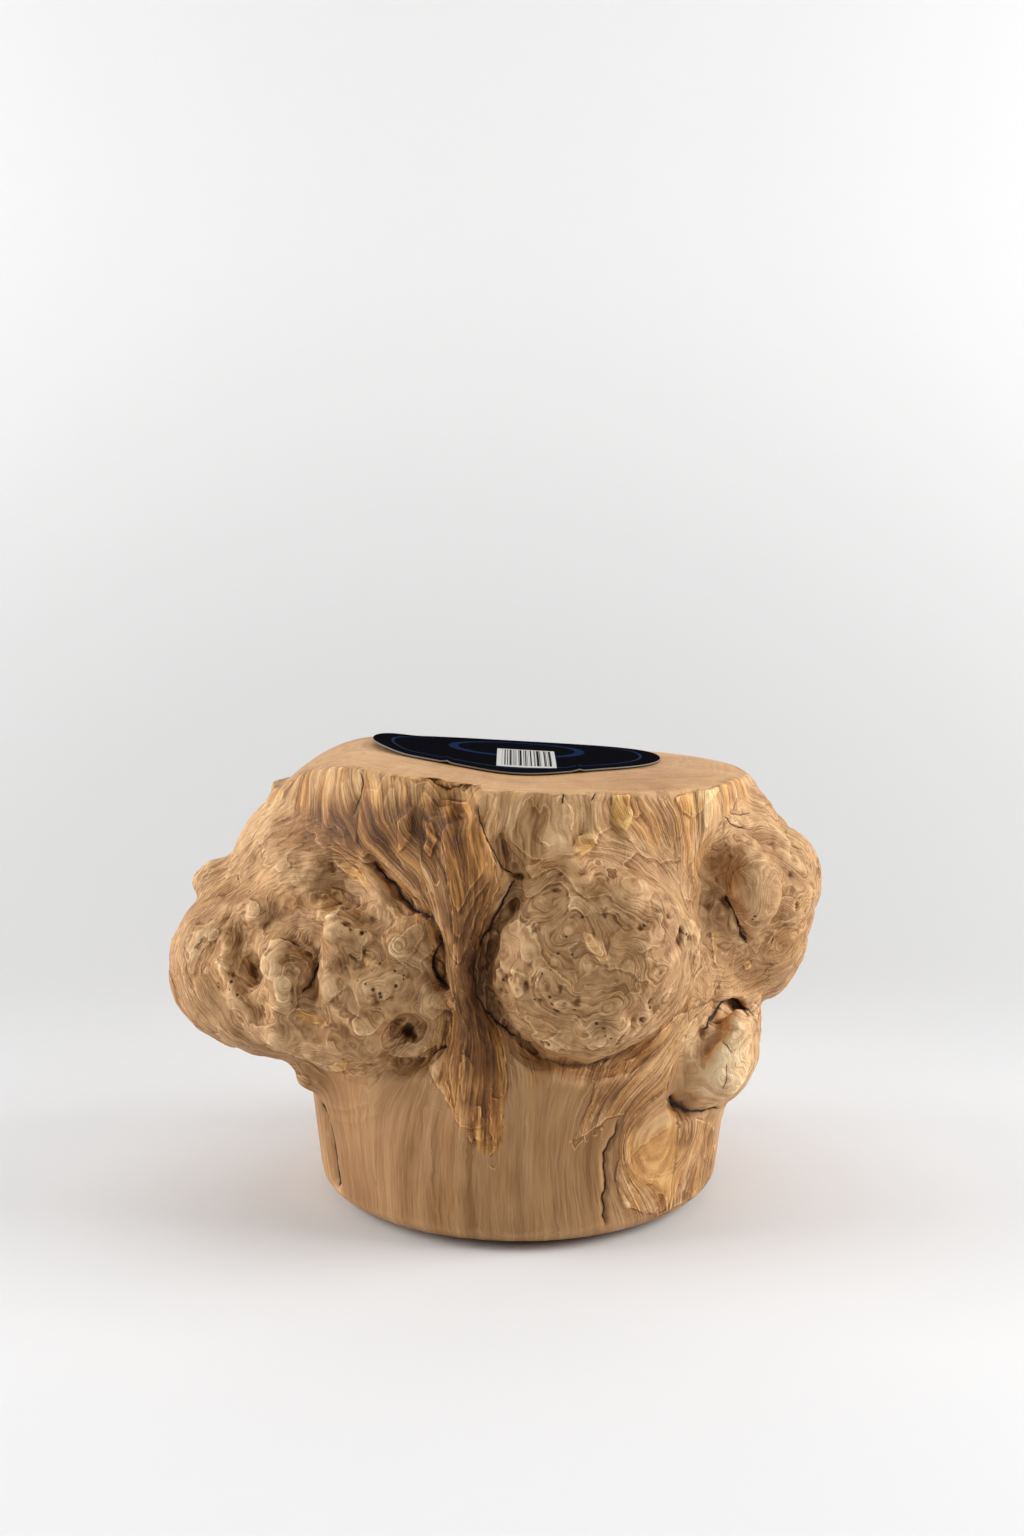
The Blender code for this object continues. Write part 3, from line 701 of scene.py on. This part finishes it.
def carve(skin):
    """Cuts the fine relief into the skin. Returns its points and what the material reads there."""
    points, normals, facing = skin.points, skin.normals, skin.facing
    height = points[:, 2]
    grain = grain_places(points)
    jitter = np.stack([noise(points / 2.6, 41), noise(points / 2.6, 42)], axis=1)
    ragged = skin.spots + 2.2 * jitter

    # kinds of wood
    lump, burl = depth_in_burls(points)
    burl = smooth_step(0.25, 0.75, burl)
    column = skin.patch(ragged, COLUMN, 3)
    tongue = skin.patch(ragged, BARK_TONGUE, 2)
    sanded = (1 - smooth_step(*SANDED_BELOW, height)) * (1 - burl)
    sanded *= (1 - column) * (1 - tongue)
    bark = (1 - burl) * (1 - sanded)
    calm, stain = np.zeros(len(points)), np.zeros(len(points))
    for *oval, share in CALM_PLACES:
        calm = np.maximum(calm, share * facing * inside_oval(skin.spots, *oval))
    # Painted light and shade, with the wood's own tone, from the list of darker and lighter places
    for *oval, change in STAINS_AND_PAINTED_LIGHT:
        stain += change * facing * inside_oval(skin.spots, *oval)
    pores = pore_clusters(skin, burl)
    cluster = np.maximum(0.7 * smooth_step(-0.1, 0.4, noise(points / 10, 15)), pores)
    cluster *= burl * (1 - 0.8 * calm)
    dimple = smooth_step(0.35, 0.65, noise(points / (1.7, 1.7, 2.8), 16)) * cluster

    # broad waves, folds round the burls, and grooves along the grain
    knobs = [(skin.round_form(*form), out) for *form, out in KNOBS]
    ring, outer, far_out = growth_rings(points, burl, knobs)
    rise = burl * (0.5 * np.abs(noise(points / 7, 1)) + 0.35 * np.abs(noise(points / 3.3, 2)) - 0.25)
    rise += burl * waves(points, (0.18, 1.8, 13), (0.3, 5, 14))
    rise *= 1 - 0.55 * far_out
    rise += burl * waves(ring, (0.16, (2.4, 1, 15), 7), (0.15, (1.3, 1, 8), 8))
    rise += outer * 0.25 * noise(ring / (4.5, 1, 20), 12)
    rise += bark * waves(grain, (0.35, (4.2, 4.2, 30), 3), (0.22, (1.7, 1.7, 13), 4))
    groove = grooves(points, grain, bark + column)
    rise -= 0.26 * groove
    rise += sanded * 0.10 * noise(grain / (3, 3, 40), 5)
    rise += 0.15 * column + 0.2 * tongue
    rise *= 1 - 0.8 * calm
    rise *= 1 - 0.6 * smooth_step(-5, -0.5, height - face_height(points))
    rise -= 0.55 * dimple
    rise += column * 0.18 * noise(grain / (2.2, 2.2, 26), 6)

    # growth layers, as a height in steps
    swirl = waves(points, (1.6, 13, 21), (0.9, 5.5, 22), (0.35, 2.6, 28))
    swirl += burl * 0.8 * noise(ring / (3.2, 1, 15), 27)
    flow = waves(grain, (1.1, (5, 5, 34), 23), (0.8, (2.2, 2.2, 17), 24))
    layer = burl * (lump + swirl) / 1.7 + (1 - burl) * (lump + flow) / 1.3
    layer += 0.12 * noise(points / 1.7, 25)

    # what stands out or is cut in
    eye = add_knobs(points, knobs, rise, layer)
    hole = add_pits(skin, rise)
    ochre, edge = add_flakes(skin, ragged, rise)
    cracks = add_cracks(skin, rise)
    slope = add_steps(skin, layer, 0.15 * burl + 0.26 * bark, 1 - calm, rise)

    points = points + normals * rise[:, None]
    under = saw_off(points)
    # How far each point sinks into its smoothed skin, close by and broadly; the wood paints shade in
    # hollows and highlights on rises from these
    hollow = ((skin.smoothed(points, 10) - points) * normals).sum(axis=1)
    broad = ((skin.smoothed(points, 90) - points) * normals).sum(axis=1)
    sawn = smooth_step(-1.6, -0.5, under) * smooth_step(0.55, 0.8, normals[:, 2])
    wedge = skin.patch(skin.spots, FACE_WEDGE, 2)
    apron = skin.patch(skin.spots + 0.5 * jitter, FACE_APRON, 2)
    sawn = np.maximum(sawn, np.maximum(wedge, apron))
    return points, dict(
        layer=layer, slope=slope, burl=burl, sanded=sanded, sawn=sawn, column=column, tongue=tongue,
        ochre=ochre, edge=edge / EDGE_PIXELS, hole=hole, pores=pores, dimple=dimple, groove=groove,
        ring=ring, eye=eye, calm=calm, stain=stain, hollow=hollow, broad=broad, place=points,
        grain=grain, **cracks,
    )


def thinned(mesh, most):
    """The mesh with at most so many triangles; flat places lose theirs first."""
    obj = linked("thinned", mesh)
    split = obj.modifiers.new("split", "TRIANGULATE")
    split.min_vertices = 4
    thin = obj.modifiers.new("thin", "DECIMATE")
    thin.ratio = min(1, most / (2 * len(mesh.polygons)))
    return baked(obj)


def give(mesh, name, values):
    """Stores a number or a vector for each point, for the materials to read."""
    kind = "FLOAT_VECTOR" if values.ndim == 2 else "FLOAT"
    field = "vector" if values.ndim == 2 else "value"
    layer = mesh.attributes.new(name, kind, "POINT")
    layer.data.foreach_set(field, values.astype(np.float32).ravel())


def fine_wood():
    skin = Skin(fine_copy(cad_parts["root_wood"]))
    points, fields = carve(skin)
    write_points(skin.mesh, points)
    mesh = thinned(skin.mesh, MOST_TRIANGLES)
    tree = kdtree.KDTree(len(points))
    for i, place in enumerate(points):
        tree.insert(place, i)
    tree.balance()
    nearest = np.array([tree.find(place)[1] for place in read_points(mesh)])
    for name, values in fields.items():
        give(mesh, name, values[nearest])
    mesh.shade_smooth()
    return mesh


# Materials


def linear(red, green, blue):
    """A colour as Blender holds it, from its 0 to 255 values on a screen."""
    shares = [value / 255 for value in (red, green, blue)]
    return (*[s / 12.92 if s <= 0.04045 else ((s + 0.055) / 1.055) ** 2.4 for s in shares], 1)


class Graph:
    """Builds one material's nodes."""

    def __init__(self, name):
        self.material = bpy.data.materials.new(name)
        self.material.use_nodes = True
        self.nodes = self.material.node_tree.nodes
        self.links = self.material.node_tree.links
        self.shader = self.nodes["Principled BSDF"]

    def put(self, socket, value):
        if isinstance(value, bpy.types.NodeSocket):
            self.links.new(value, socket)
        else:
            socket.default_value = value

    def node(self, kind, inputs, **settings):
        node = self.nodes.new("ShaderNode" + kind)
        for setting, value in settings.items():
            setattr(node, setting, value)
        for name, value in inputs.items():
            self.put(node.inputs[name], value)
        return node

    def field(self, name, output="Fac"):
        return self.node("Attribute", {}, attribute_name=name).outputs[output]

    def math(self, operation, a, b=0, c=0):
        return self.node("Math", {0: a, 1: b, 2: c}, operation=operation).outputs[0]

    def times(self, *values):
        total = values[0]
        for value in values[1:]:
            total = self.math("MULTIPLY", total, value)
        return total

    def plus(self, *values):
        total = values[0]
        for value in values[1:]:
            total = self.math("ADD", total, value)
        return total

    def rest_of(self, value):
        return self.math("SUBTRACT", 1, value)

    def length(self, x, y):
        return self.math("SQRT", self.plus(self.times(x, x), self.times(y, y)))

    def ramp(self, value, low, high, start=0, end=1):
        inputs = {"Value": value, "From Min": low, "From Max": high, "To Min": start, "To Max": end}
        return self.node("MapRange", inputs, interpolation_type="SMOOTHSTEP").outputs["Result"]

    def band(self, value, low, high, soft):
        """1 between low and high, and 0 further out than soft."""
        return self.times(self.ramp(value, low - soft, low), self.ramp(value, high + soft, high))

    def scaled(self, vector, across, along):
        inputs = {0: vector, 1: (1 / across, 1 / across, 1 / along)}
        return self.node("VectorMath", inputs, operation="MULTIPLY").outputs["Vector"]

    def noise(self, vector, across, along, detail=2, rough=0.5, w=None):
        """Noise with bumps so many millimetres across and along the grain."""
        inputs = {"Vector": self.scaled(vector, across, along), "Scale": 1}
        inputs.update({"Detail": detail, "Roughness": rough})
        if w is None:
            return self.node("TexNoise", inputs).outputs["Fac"]
        return self.node("TexNoise", {**inputs, "W": w}, noise_dimensions="4D").outputs["Fac"]

    def line_noise(self, value, detail, rough):
        """Noise that changes only with a value."""
        line = self.node("CombineXYZ", {0: value}).outputs[0]
        return self.noise(line, 1, 1, detail, rough)

    def dots(self, vector):
        """Distance to the nearest of scattered points, and a random number for each of them."""
        node = self.node("TexVoronoi", {"Scale": 1, "Vector": vector})
        split = self.node("SeparateColor", {0: node.outputs["Color"]})
        return node.outputs["Distance"], split.outputs[0]

    def parts(self, vector):
        """A vector's three numbers."""
        return self.node("SeparateXYZ", {0: vector}).outputs

    def mix(self, share, a, b):
        return self.node("Mix", {0: share, 6: a, 7: b}, data_type="RGBA").outputs[2]

    def colours(self, value, tones):
        """A colour for a lightness, from tones that stand at TONE_PLACES."""
        node = self.node("ValToRGB", {0: value})
        elements = node.color_ramp.elements
        while len(elements) < len(tones):
            elements.new(0.5)
        for element, position, tone in zip(elements, TONE_PLACES, tones):
            element.position = position
            element.color = linear(*tone)
        return node.outputs[0]

    def bump(self, height, distance):
        return self.node("Bump", {"Height": height, "Distance": distance}).outputs["Normal"]


# The middle of the year rings, and the wood's colours from dark to pale
PITH = (6, 3)
TONE_PLACES = (0, 0.28, 0.5, 0.74, 1)
PLAIN_WOOD = [(82, 48, 20), (140, 98, 57), (183, 141, 97), (215, 175, 129), (244, 216, 172)]
WARM_WOOD = [(84, 50, 22), (142, 93, 46), (190, 134, 70), (222, 172, 102), (242, 208, 148)]


NUMBER_FIELDS = (
    "layer", "slope", "burl", "sanded", "sawn", "column", "tongue", "ochre", "edge", "hole", "pores",
    "dimple", "groove", "eye", "calm", "stain", "hollow", "broad", "crack", "crack_near", "crack_fade",
)
VECTOR_FIELDS = ("place", "grain", "ring")


class Wood(Graph):
    """The wood's nodes, with what carve found at each point."""

    def __init__(self):
        super().__init__("wood")
        for name in NUMBER_FIELDS:
            setattr(self, name, self.field(name))
        for name in VECTOR_FIELDS:
            setattr(self, name, self.field(name, "Vector"))
        self.rough = self.times(self.rest_of(self.sanded), self.rest_of(self.sawn))
        self.bark = self.times(self.rough, self.rest_of(self.burl))


def layer_marks(g):
    """The steps of the growth layers and the edges of flakes: a painted highlight along each raised edge
    and painted shade under it.
    """
    ragged = g.noise(g.place, 0.9, 0.9, 2, 0.6)
    g.layer = g.plus(g.layer, g.math("MULTIPLY_ADD", ragged, 0.16, -0.08))
    g.level = g.math("FLOOR", g.plus(g.layer, 0.5))
    rest = g.math("SUBTRACT", g.math("FRACT", g.layer), 0.5)
    g.past = g.math("DIVIDE", rest, g.math("MAXIMUM", g.slope, 0.03))
    patchy = g.noise(g.place, 7, 7, 1)
    g.shown = g.times(g.rough, g.ramp(patchy, 0.38, 0.56), g.rest_of(g.calm))
    g.lip = g.times(g.shown, g.band(g.past, 0.02, 0.22, 0.12))
    g.shade = g.times(g.shown, g.band(g.past, -0.5, -0.06, 0.25))
    torn = g.ramp(g.noise(g.place, 2.4, 2.4, 1), 0.44, 0.6)
    g.flake_lip = g.times(torn, g.band(g.edge, 0.05, 0.2, 0.12))
    g.flake_shade = g.times(torn, g.band(g.edge, -0.3, -0.05, 0.2))


def grain_marks(g):
    """Fibres, hairs and veins, which follow the grain on bark and the rings on a burl."""

    def drawn(along_grain, round_burl, detail, rough):
        along = g.noise(g.grain, *along_grain, detail, rough)
        around = g.noise(g.ring, *round_burl, detail, rough)
        return g.plus(g.times(along, g.rest_of(g.burl)), g.times(around, g.burl))

    g.fibre = drawn((0.6, 13), (0.7, 12), 2, 0.6)
    g.hair = drawn((0.36, 6), (0.36, 5), 1, 0.5)
    vein = g.math("SUBTRACT", drawn((2.4, 22), (2.6, 15), 2, 0.55), 0.5)
    veined = g.times(g.rough, g.ramp(g.noise(g.place, 5, 5, 1), 0.42, 0.58))
    g.pale_vein = g.times(veined, g.band(vein, -0.004, 0.008, 0.01))
    g.dark_vein = g.times(veined, g.band(vein, -0.045, -0.02, 0.015))


def year_rings(g, place):
    """Rings round the pith, on the sawn faces."""
    x, y, _ = g.parts(place)
    x, y = g.math("SUBTRACT", x, PITH[0]), g.math("SUBTRACT", y, PITH[1])
    radius = g.plus(g.length(x, y), g.times(g.noise(place, 13, 13, 3, 0.5), 9))
    return g.line_noise(g.times(radius, 0.62), 3, 0.65)


def lightness(g):
    """How light the wood is, 0 to 1, with painted shade and painted highlights mixed into its own tone."""

    def swing(value, gain, *where):
        return g.times(g.math("SUBTRACT", value, 0.5), gain, *where)

    streak = g.ramp(g.noise(g.grain, 2.4, 24, 3, 0.6), 0.38, 0.62)
    figure = g.noise(g.place, 9, 9, 3, 0.6, w=g.times(g.layer, 2.4))
    patch_tone = g.noise(g.place, 16, 16, 1, 0.5, w=g.times(g.level, 3.7))
    marks = [
        (g.stain, 1), (g.sawn, 0.03), (g.sanded, -0.09), (g.column, -0.08), (g.burl, -0.02),
        # painted shade in the grooves along the grain
        (g.pale_vein, 0.14), (g.dark_vein, -0.1), (g.dimple, -0.2), (g.groove, -0.05), (g.ochre, 0.1),
        # painted highlights on raised edges of steps and flakes, and painted shade under them
        (g.band(g.eye, 0.4, 0.6, 0.15), 0.06), (g.lip, 0.2), (g.shade, -0.12), (g.flake_lip, 0.26),
        (g.flake_shade, -0.14),
    ]
    return g.plus(
        0.5,
        swing(streak, 0.22, g.bark),
        swing(g.fibre, 0.6, g.ramp(g.sanded, 0, 1, 1, 0.25), g.rest_of(g.sawn)),
        swing(g.hair, 0.5, g.ramp(g.sanded, 0, 1, 1, 0.45), g.rest_of(g.sawn)),
        swing(g.noise(g.grain, 3.2, 60, 4, 0.6), 0.55, g.sanded),
        swing(figure, 0.35, g.burl),
        swing(figure, 0.4, g.tongue),
        swing(g.noise(g.place, 6, 6, 4, 0.55), 0.2, g.sawn),
        swing(year_rings(g, g.place), 0.34, g.sawn),
        swing(g.noise(g.place, 0.55, 0.55, 3, 0.6), 0.22, g.sawn),
        swing(g.mottle, 0.3, g.rough),
        swing(g.noise(g.place, 19, 26, 2, 0.5), 0.34),
        swing(patch_tone, 0.34, g.bark),
        swing(patch_tone, 0.22, g.burl),
        # Painted highlight on rises and painted shade in hollows
        g.ramp(g.broad, -0.3, -1.6, 0, 0.1),
        g.ramp(g.hollow, -0.03, -0.25, 0, 0.13),
        g.ramp(g.broad, 0.2, 2.4, 0, -0.06),
        g.ramp(g.hollow, 0.04, 0.4, 0, -0.22),
        *(g.times(mark, gain) for mark, gain in marks),
    )


def wood_colour(g):
    """Plain and warm wood by its lightness, with painted shade in holes and cracks, and dark pores."""
    light = lightness(g)
    hue = g.noise(g.grain, 4.5, 22, 2, 0.6, w=g.times(g.level, 2.3))
    warmth = g.plus(
        g.times(g.bark, g.ramp(hue, 0.44, 0.62, 0.1, 0.7)),
        g.times(g.rest_of(g.bark), g.ramp(hue, 0.5, 0.7, 0, 0.3)),
        g.times(g.column, 0.5),
        g.ochre,
    )
    plain, warm = g.colours(light, PLAIN_WOOD), g.colours(light, WARM_WOOD)
    colour = g.mix(g.math("MINIMUM", warmth, 1), plain, warm)
    # Painted shade deep in pits and holes
    colour = g.mix(g.ramp(g.hole, 0.45, 0.95, 0, 0.7), colour, linear(46, 28, 16))
    # Painted shade inside the open cracks, near black
    painted_crack_shade = g.times(
        g.ramp(g.math("ABSOLUTE", g.crack), 1, 0.45),
        g.ramp(g.crack_near, 1.5, 1),
        g.ramp(g.crack_fade, 0.1, 0.6),
        0.96,
    )
    colour = g.mix(painted_crack_shade, colour, linear(22, 13, 8))
    return g.mix(g.times(g.pore, 0.85), colour, linear(40, 24, 14))


def wood_material():
    g = Wood()
    layer_marks(g)
    grain_marks(g)
    g.mottle = g.noise(g.place, 3.2, 3.2, 3, 0.6)
    gap, chance = g.dots(g.scaled(g.place, 1.5, 1.5))
    size = g.times(g.pores, g.ramp(chance, 0.35, 0.9, 0, 0.26))
    g.pore = g.times(g.ramp(g.math("SUBTRACT", gap, size), 0.05, -0.04), g.ramp(g.pores, 0.1, 0.3))
    g.put(g.shader.inputs["Base Color"], wood_colour(g))
    g.put(g.shader.inputs["Roughness"], g.ramp(g.fibre, 0.3, 0.7, 0.58, 0.72))
    g.shader.inputs["Specular IOR Level"].default_value = 0.28
    height = g.plus(
        g.times(g.fibre, g.ramp(g.sanded, 0, 1, 0.30, 0.10), g.rest_of(g.sawn)),
        g.times(g.hair, g.ramp(g.sanded, 0, 1, 0.16, 0.06), g.rest_of(g.sawn)),
        g.times(g.mottle, 0.3, g.burl),
        g.times(g.ramp(g.past, -0.12, 0.12), g.shown, 0.12),
        g.times(g.noise(g.place, 0.5, 0.5, 2, 0.6), g.rough, 0.14),
        g.times(g.pore, -0.35),
    )
    g.put(g.shader.inputs["Normal"], g.bump(height, MM))
    return g.material


# The sticker

STICKER_RADIUS = 31.75
STICKER_GAP = 0.3
STICKER_THICKNESS = 0.3
STICKER_RINGS, STICKER_SIDES = 60, 240
OUTER_RING, INNER_RING = (27.2, 27.7), (13, 15)
PATCH_LEFT, PATCH_RIGHT = -4.2, 8.2
PATCH_FRONT, PATCH_BACK = -26.5, -2
TIP_LIFT, TIP_START = 0.9, 22
PLEATS = (-14.5, 12.7)
PLEAT_RISE, PLEAT_WIDTH = 0.35, 0.6
PLEAT_SPAN = (12, 26)
SOFT = 0.1


def sticker_sheet():
    shape = bmesh.new()
    radii = STICKER_RADIUS * np.arange(1, STICKER_RINGS + 1) / STICKER_RINGS
    turns = 2 * np.pi * np.arange(STICKER_SIDES) / STICKER_SIDES
    rings = [[shape.verts.new((r * math.cos(t), r * math.sin(t), 0)) for t in turns] for r in radii]
    middle = shape.verts.new((0, 0, 0))
    for i in range(STICKER_SIDES):
        j = (i + 1) % STICKER_SIDES
        shape.faces.new((middle, rings[0][i], rings[0][j]))
        for inner, outer in zip(rings, rings[1:]):
            shape.faces.new((inner[i], outer[i], outer[j], inner[j]))
    mesh = mesh_of("sticker_sheet", shape)
    flat = read_vectors(mesh, "co")
    points = flat + (FACE_CENTRE[0], FACE_CENTRE[1], 0)
    x, y = points[:, 0], points[:, 1]
    points[:, 2] = face_plane(x, y) - face_dip(x, y) + STICKER_GAP
    points[:, 2] += TIP_LIFT * smooth_step(TIP_START, STICKER_RADIUS, -flat[:, 0])
    for place in PLEATS:
        across = hump((flat[:, 0] - place) / PLEAT_WIDTH)
        points[:, 2] += PLEAT_RISE * across * smooth_step(*PLEAT_SPAN, -flat[:, 1])
    write_points(mesh, points)
    give(mesh, "print", flat)
    mesh.shade_smooth()
    return mesh


def sticker_material():
    """A dark disc with two plain rings, and a pale patch with plain bars near its front edge."""
    g = Graph("sticker_print")
    x, y, _ = g.parts(g.field("print", "Vector"))
    radius = g.length(x, y)
    colour = g.mix(g.band(radius, *OUTER_RING, SOFT), linear(13, 13, 17), linear(34, 44, 66))
    colour = g.mix(g.band(radius, *INNER_RING, SOFT), colour, linear(26, 38, 66))
    patch = g.times(g.band(x, PATCH_LEFT, PATCH_RIGHT, SOFT), g.band(y, PATCH_FRONT, PATCH_BACK, SOFT))
    bar = g.ramp(g.line_noise(g.times(x, 1.9), 2, 0.6), 0.49, 0.51)
    bar = g.times(bar, g.band(y, PATCH_FRONT + 1.5, PATCH_BACK - 1, SOFT))
    bar = g.times(bar, g.band(x, PATCH_LEFT + 0.9, PATCH_RIGHT - 0.9, SOFT))
    colour = g.mix(patch, colour, g.mix(bar, linear(186, 184, 180), linear(30, 30, 34)))
    rim = g.ramp(radius, STICKER_RADIUS - 0.03, STICKER_RADIUS - 0.01)
    colour = g.mix(rim, colour, linear(132, 126, 118))
    g.put(g.shader.inputs["Base Color"], colour)
    g.put(g.shader.inputs["Roughness"], 0.6)
    g.shader.inputs["Specular IOR Level"].default_value = 0
    return g.material


# The studio, in metres: white paper that bends up from the floor into a wall, painted darker low on the
# wall as painted shade and paler again higher up

PAPER_FRONT, PAPER_SIDE = -1.4, 1.8
BEND_START, BEND_RADIUS, BEND_STEPS = 0.09, 0.30, 16
WALL_TOP = 1.8
# Where the floor's paper gives way to the painted shade low on the wall, and how high the wall turns pale
FLOOR_END, WALL_FOOT, WALL_PALE = 0.02, 0.17, 0.30
FLOOR_PAPER = (0.70, 0.70, 0.704, 1)
LOW_PAPER_PAINTED_SHADE = (0.515, 0.513, 0.512, 1)
HIGH_PAPER = (0.68, 0.68, 0.68, 1)
AIR = 0.17


def studio():
    shape = bmesh.new()
    profile = [(PAPER_FRONT, 0), (BEND_START, 0)]
    for i in range(1, BEND_STEPS + 1):
        angle = math.radians(90 * i / BEND_STEPS)
        rise = BEND_RADIUS - BEND_RADIUS * math.cos(angle)
        profile.append((BEND_START + BEND_RADIUS * math.sin(angle), rise))
    profile.append((BEND_START + BEND_RADIUS, WALL_TOP))
    left = [shape.verts.new((-PAPER_SIDE, y, z)) for y, z in profile]
    right = [shape.verts.new((PAPER_SIDE, y, z)) for y, z in profile]
    for i in range(len(profile) - 1):
        shape.faces.new((left[i], right[i], right[i + 1], left[i + 1]))
    floor = mesh_of("studio_floor", shape)
    floor.shade_smooth()
    give(floor, "place", read_vectors(floor, "co"))
    obj = linked("studio_floor", floor)
    g = Graph("studio_paper")
    _, back, up = g.parts(g.field("place", "Vector"))
    paper = g.mix(g.ramp(back, FLOOR_END, WALL_FOOT), FLOOR_PAPER, LOW_PAPER_PAINTED_SHADE)
    paper = g.mix(g.ramp(up, 0, WALL_PALE), paper, HIGH_PAPER)
    g.put(g.shader.inputs["Base Color"], paper)
    g.put(g.shader.inputs["Roughness"], 0.9)
    floor.materials.append(g.material)


def area_light(name, place, target, size, power):
    light = bpy.data.lights.new(name, "AREA")
    light.shape = "RECTANGLE"
    light.size, light.size_y = size
    light.energy = power
    obj = linked(name, light)
    obj.location = place
    obj.rotation_euler = (Vector(target) - Vector(place)).to_track_quat("-Z", "Y").to_euler()


def lights():
    area_light("left_box", (-0.70, -0.06, 0.34), (0, 0, 0.05), (0.5, 0.55), 6)
    area_light("right_box", (0.70, -0.08, 0.40), (0, 0, 0.05), (0.5, 0.5), 7)
    area_light("top_box", (0, -0.05, 1), (0, 0, 0), (0.9, 0.9), 2.2)
    world = bpy.data.worlds.new("studio_air")
    world.use_nodes = True
    background = world.node_tree.nodes["Background"]
    background.inputs["Color"].default_value = (1, 1, 1, 1)
    background.inputs["Strength"].default_value = AIR
    bpy.context.scene.world = world
    bpy.context.scene.view_settings.view_transform = "Standard"


def camera():
    data = bpy.data.cameras.new("camera")
    data.sensor_fit = "AUTO"
    data.sensor_width = SENSOR
    data.lens = FOCAL_PIXELS / PHOTO_HEIGHT * SENSOR
    data.clip_start = 0.01
    data.clip_end = 20
    obj = linked("camera", data)
    obj.location = Vector((CAMERA_PLACE + AXIS) * MM)
    obj.rotation_euler = (math.radians(90) - CAMERA_PITCH, 0, 0)
    bpy.context.scene.camera = obj


def piece(name, mesh, material, node):
    mesh.materials.clear()
    mesh.materials.append(material)
    obj = linked(name, mesh)
    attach(obj, "root")
    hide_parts(node)
    return obj


camera()
lights()
studio()
piece("wood", fine_wood(), wood_material(), "root_wood")
sticker = piece("sticker_print", sticker_sheet(), sticker_material(), "sticker")
thicken = sticker.modifiers.new("thicken", "SOLIDIFY")
thicken.thickness = STICKER_THICKNESS * MM
thicken.offset = 1
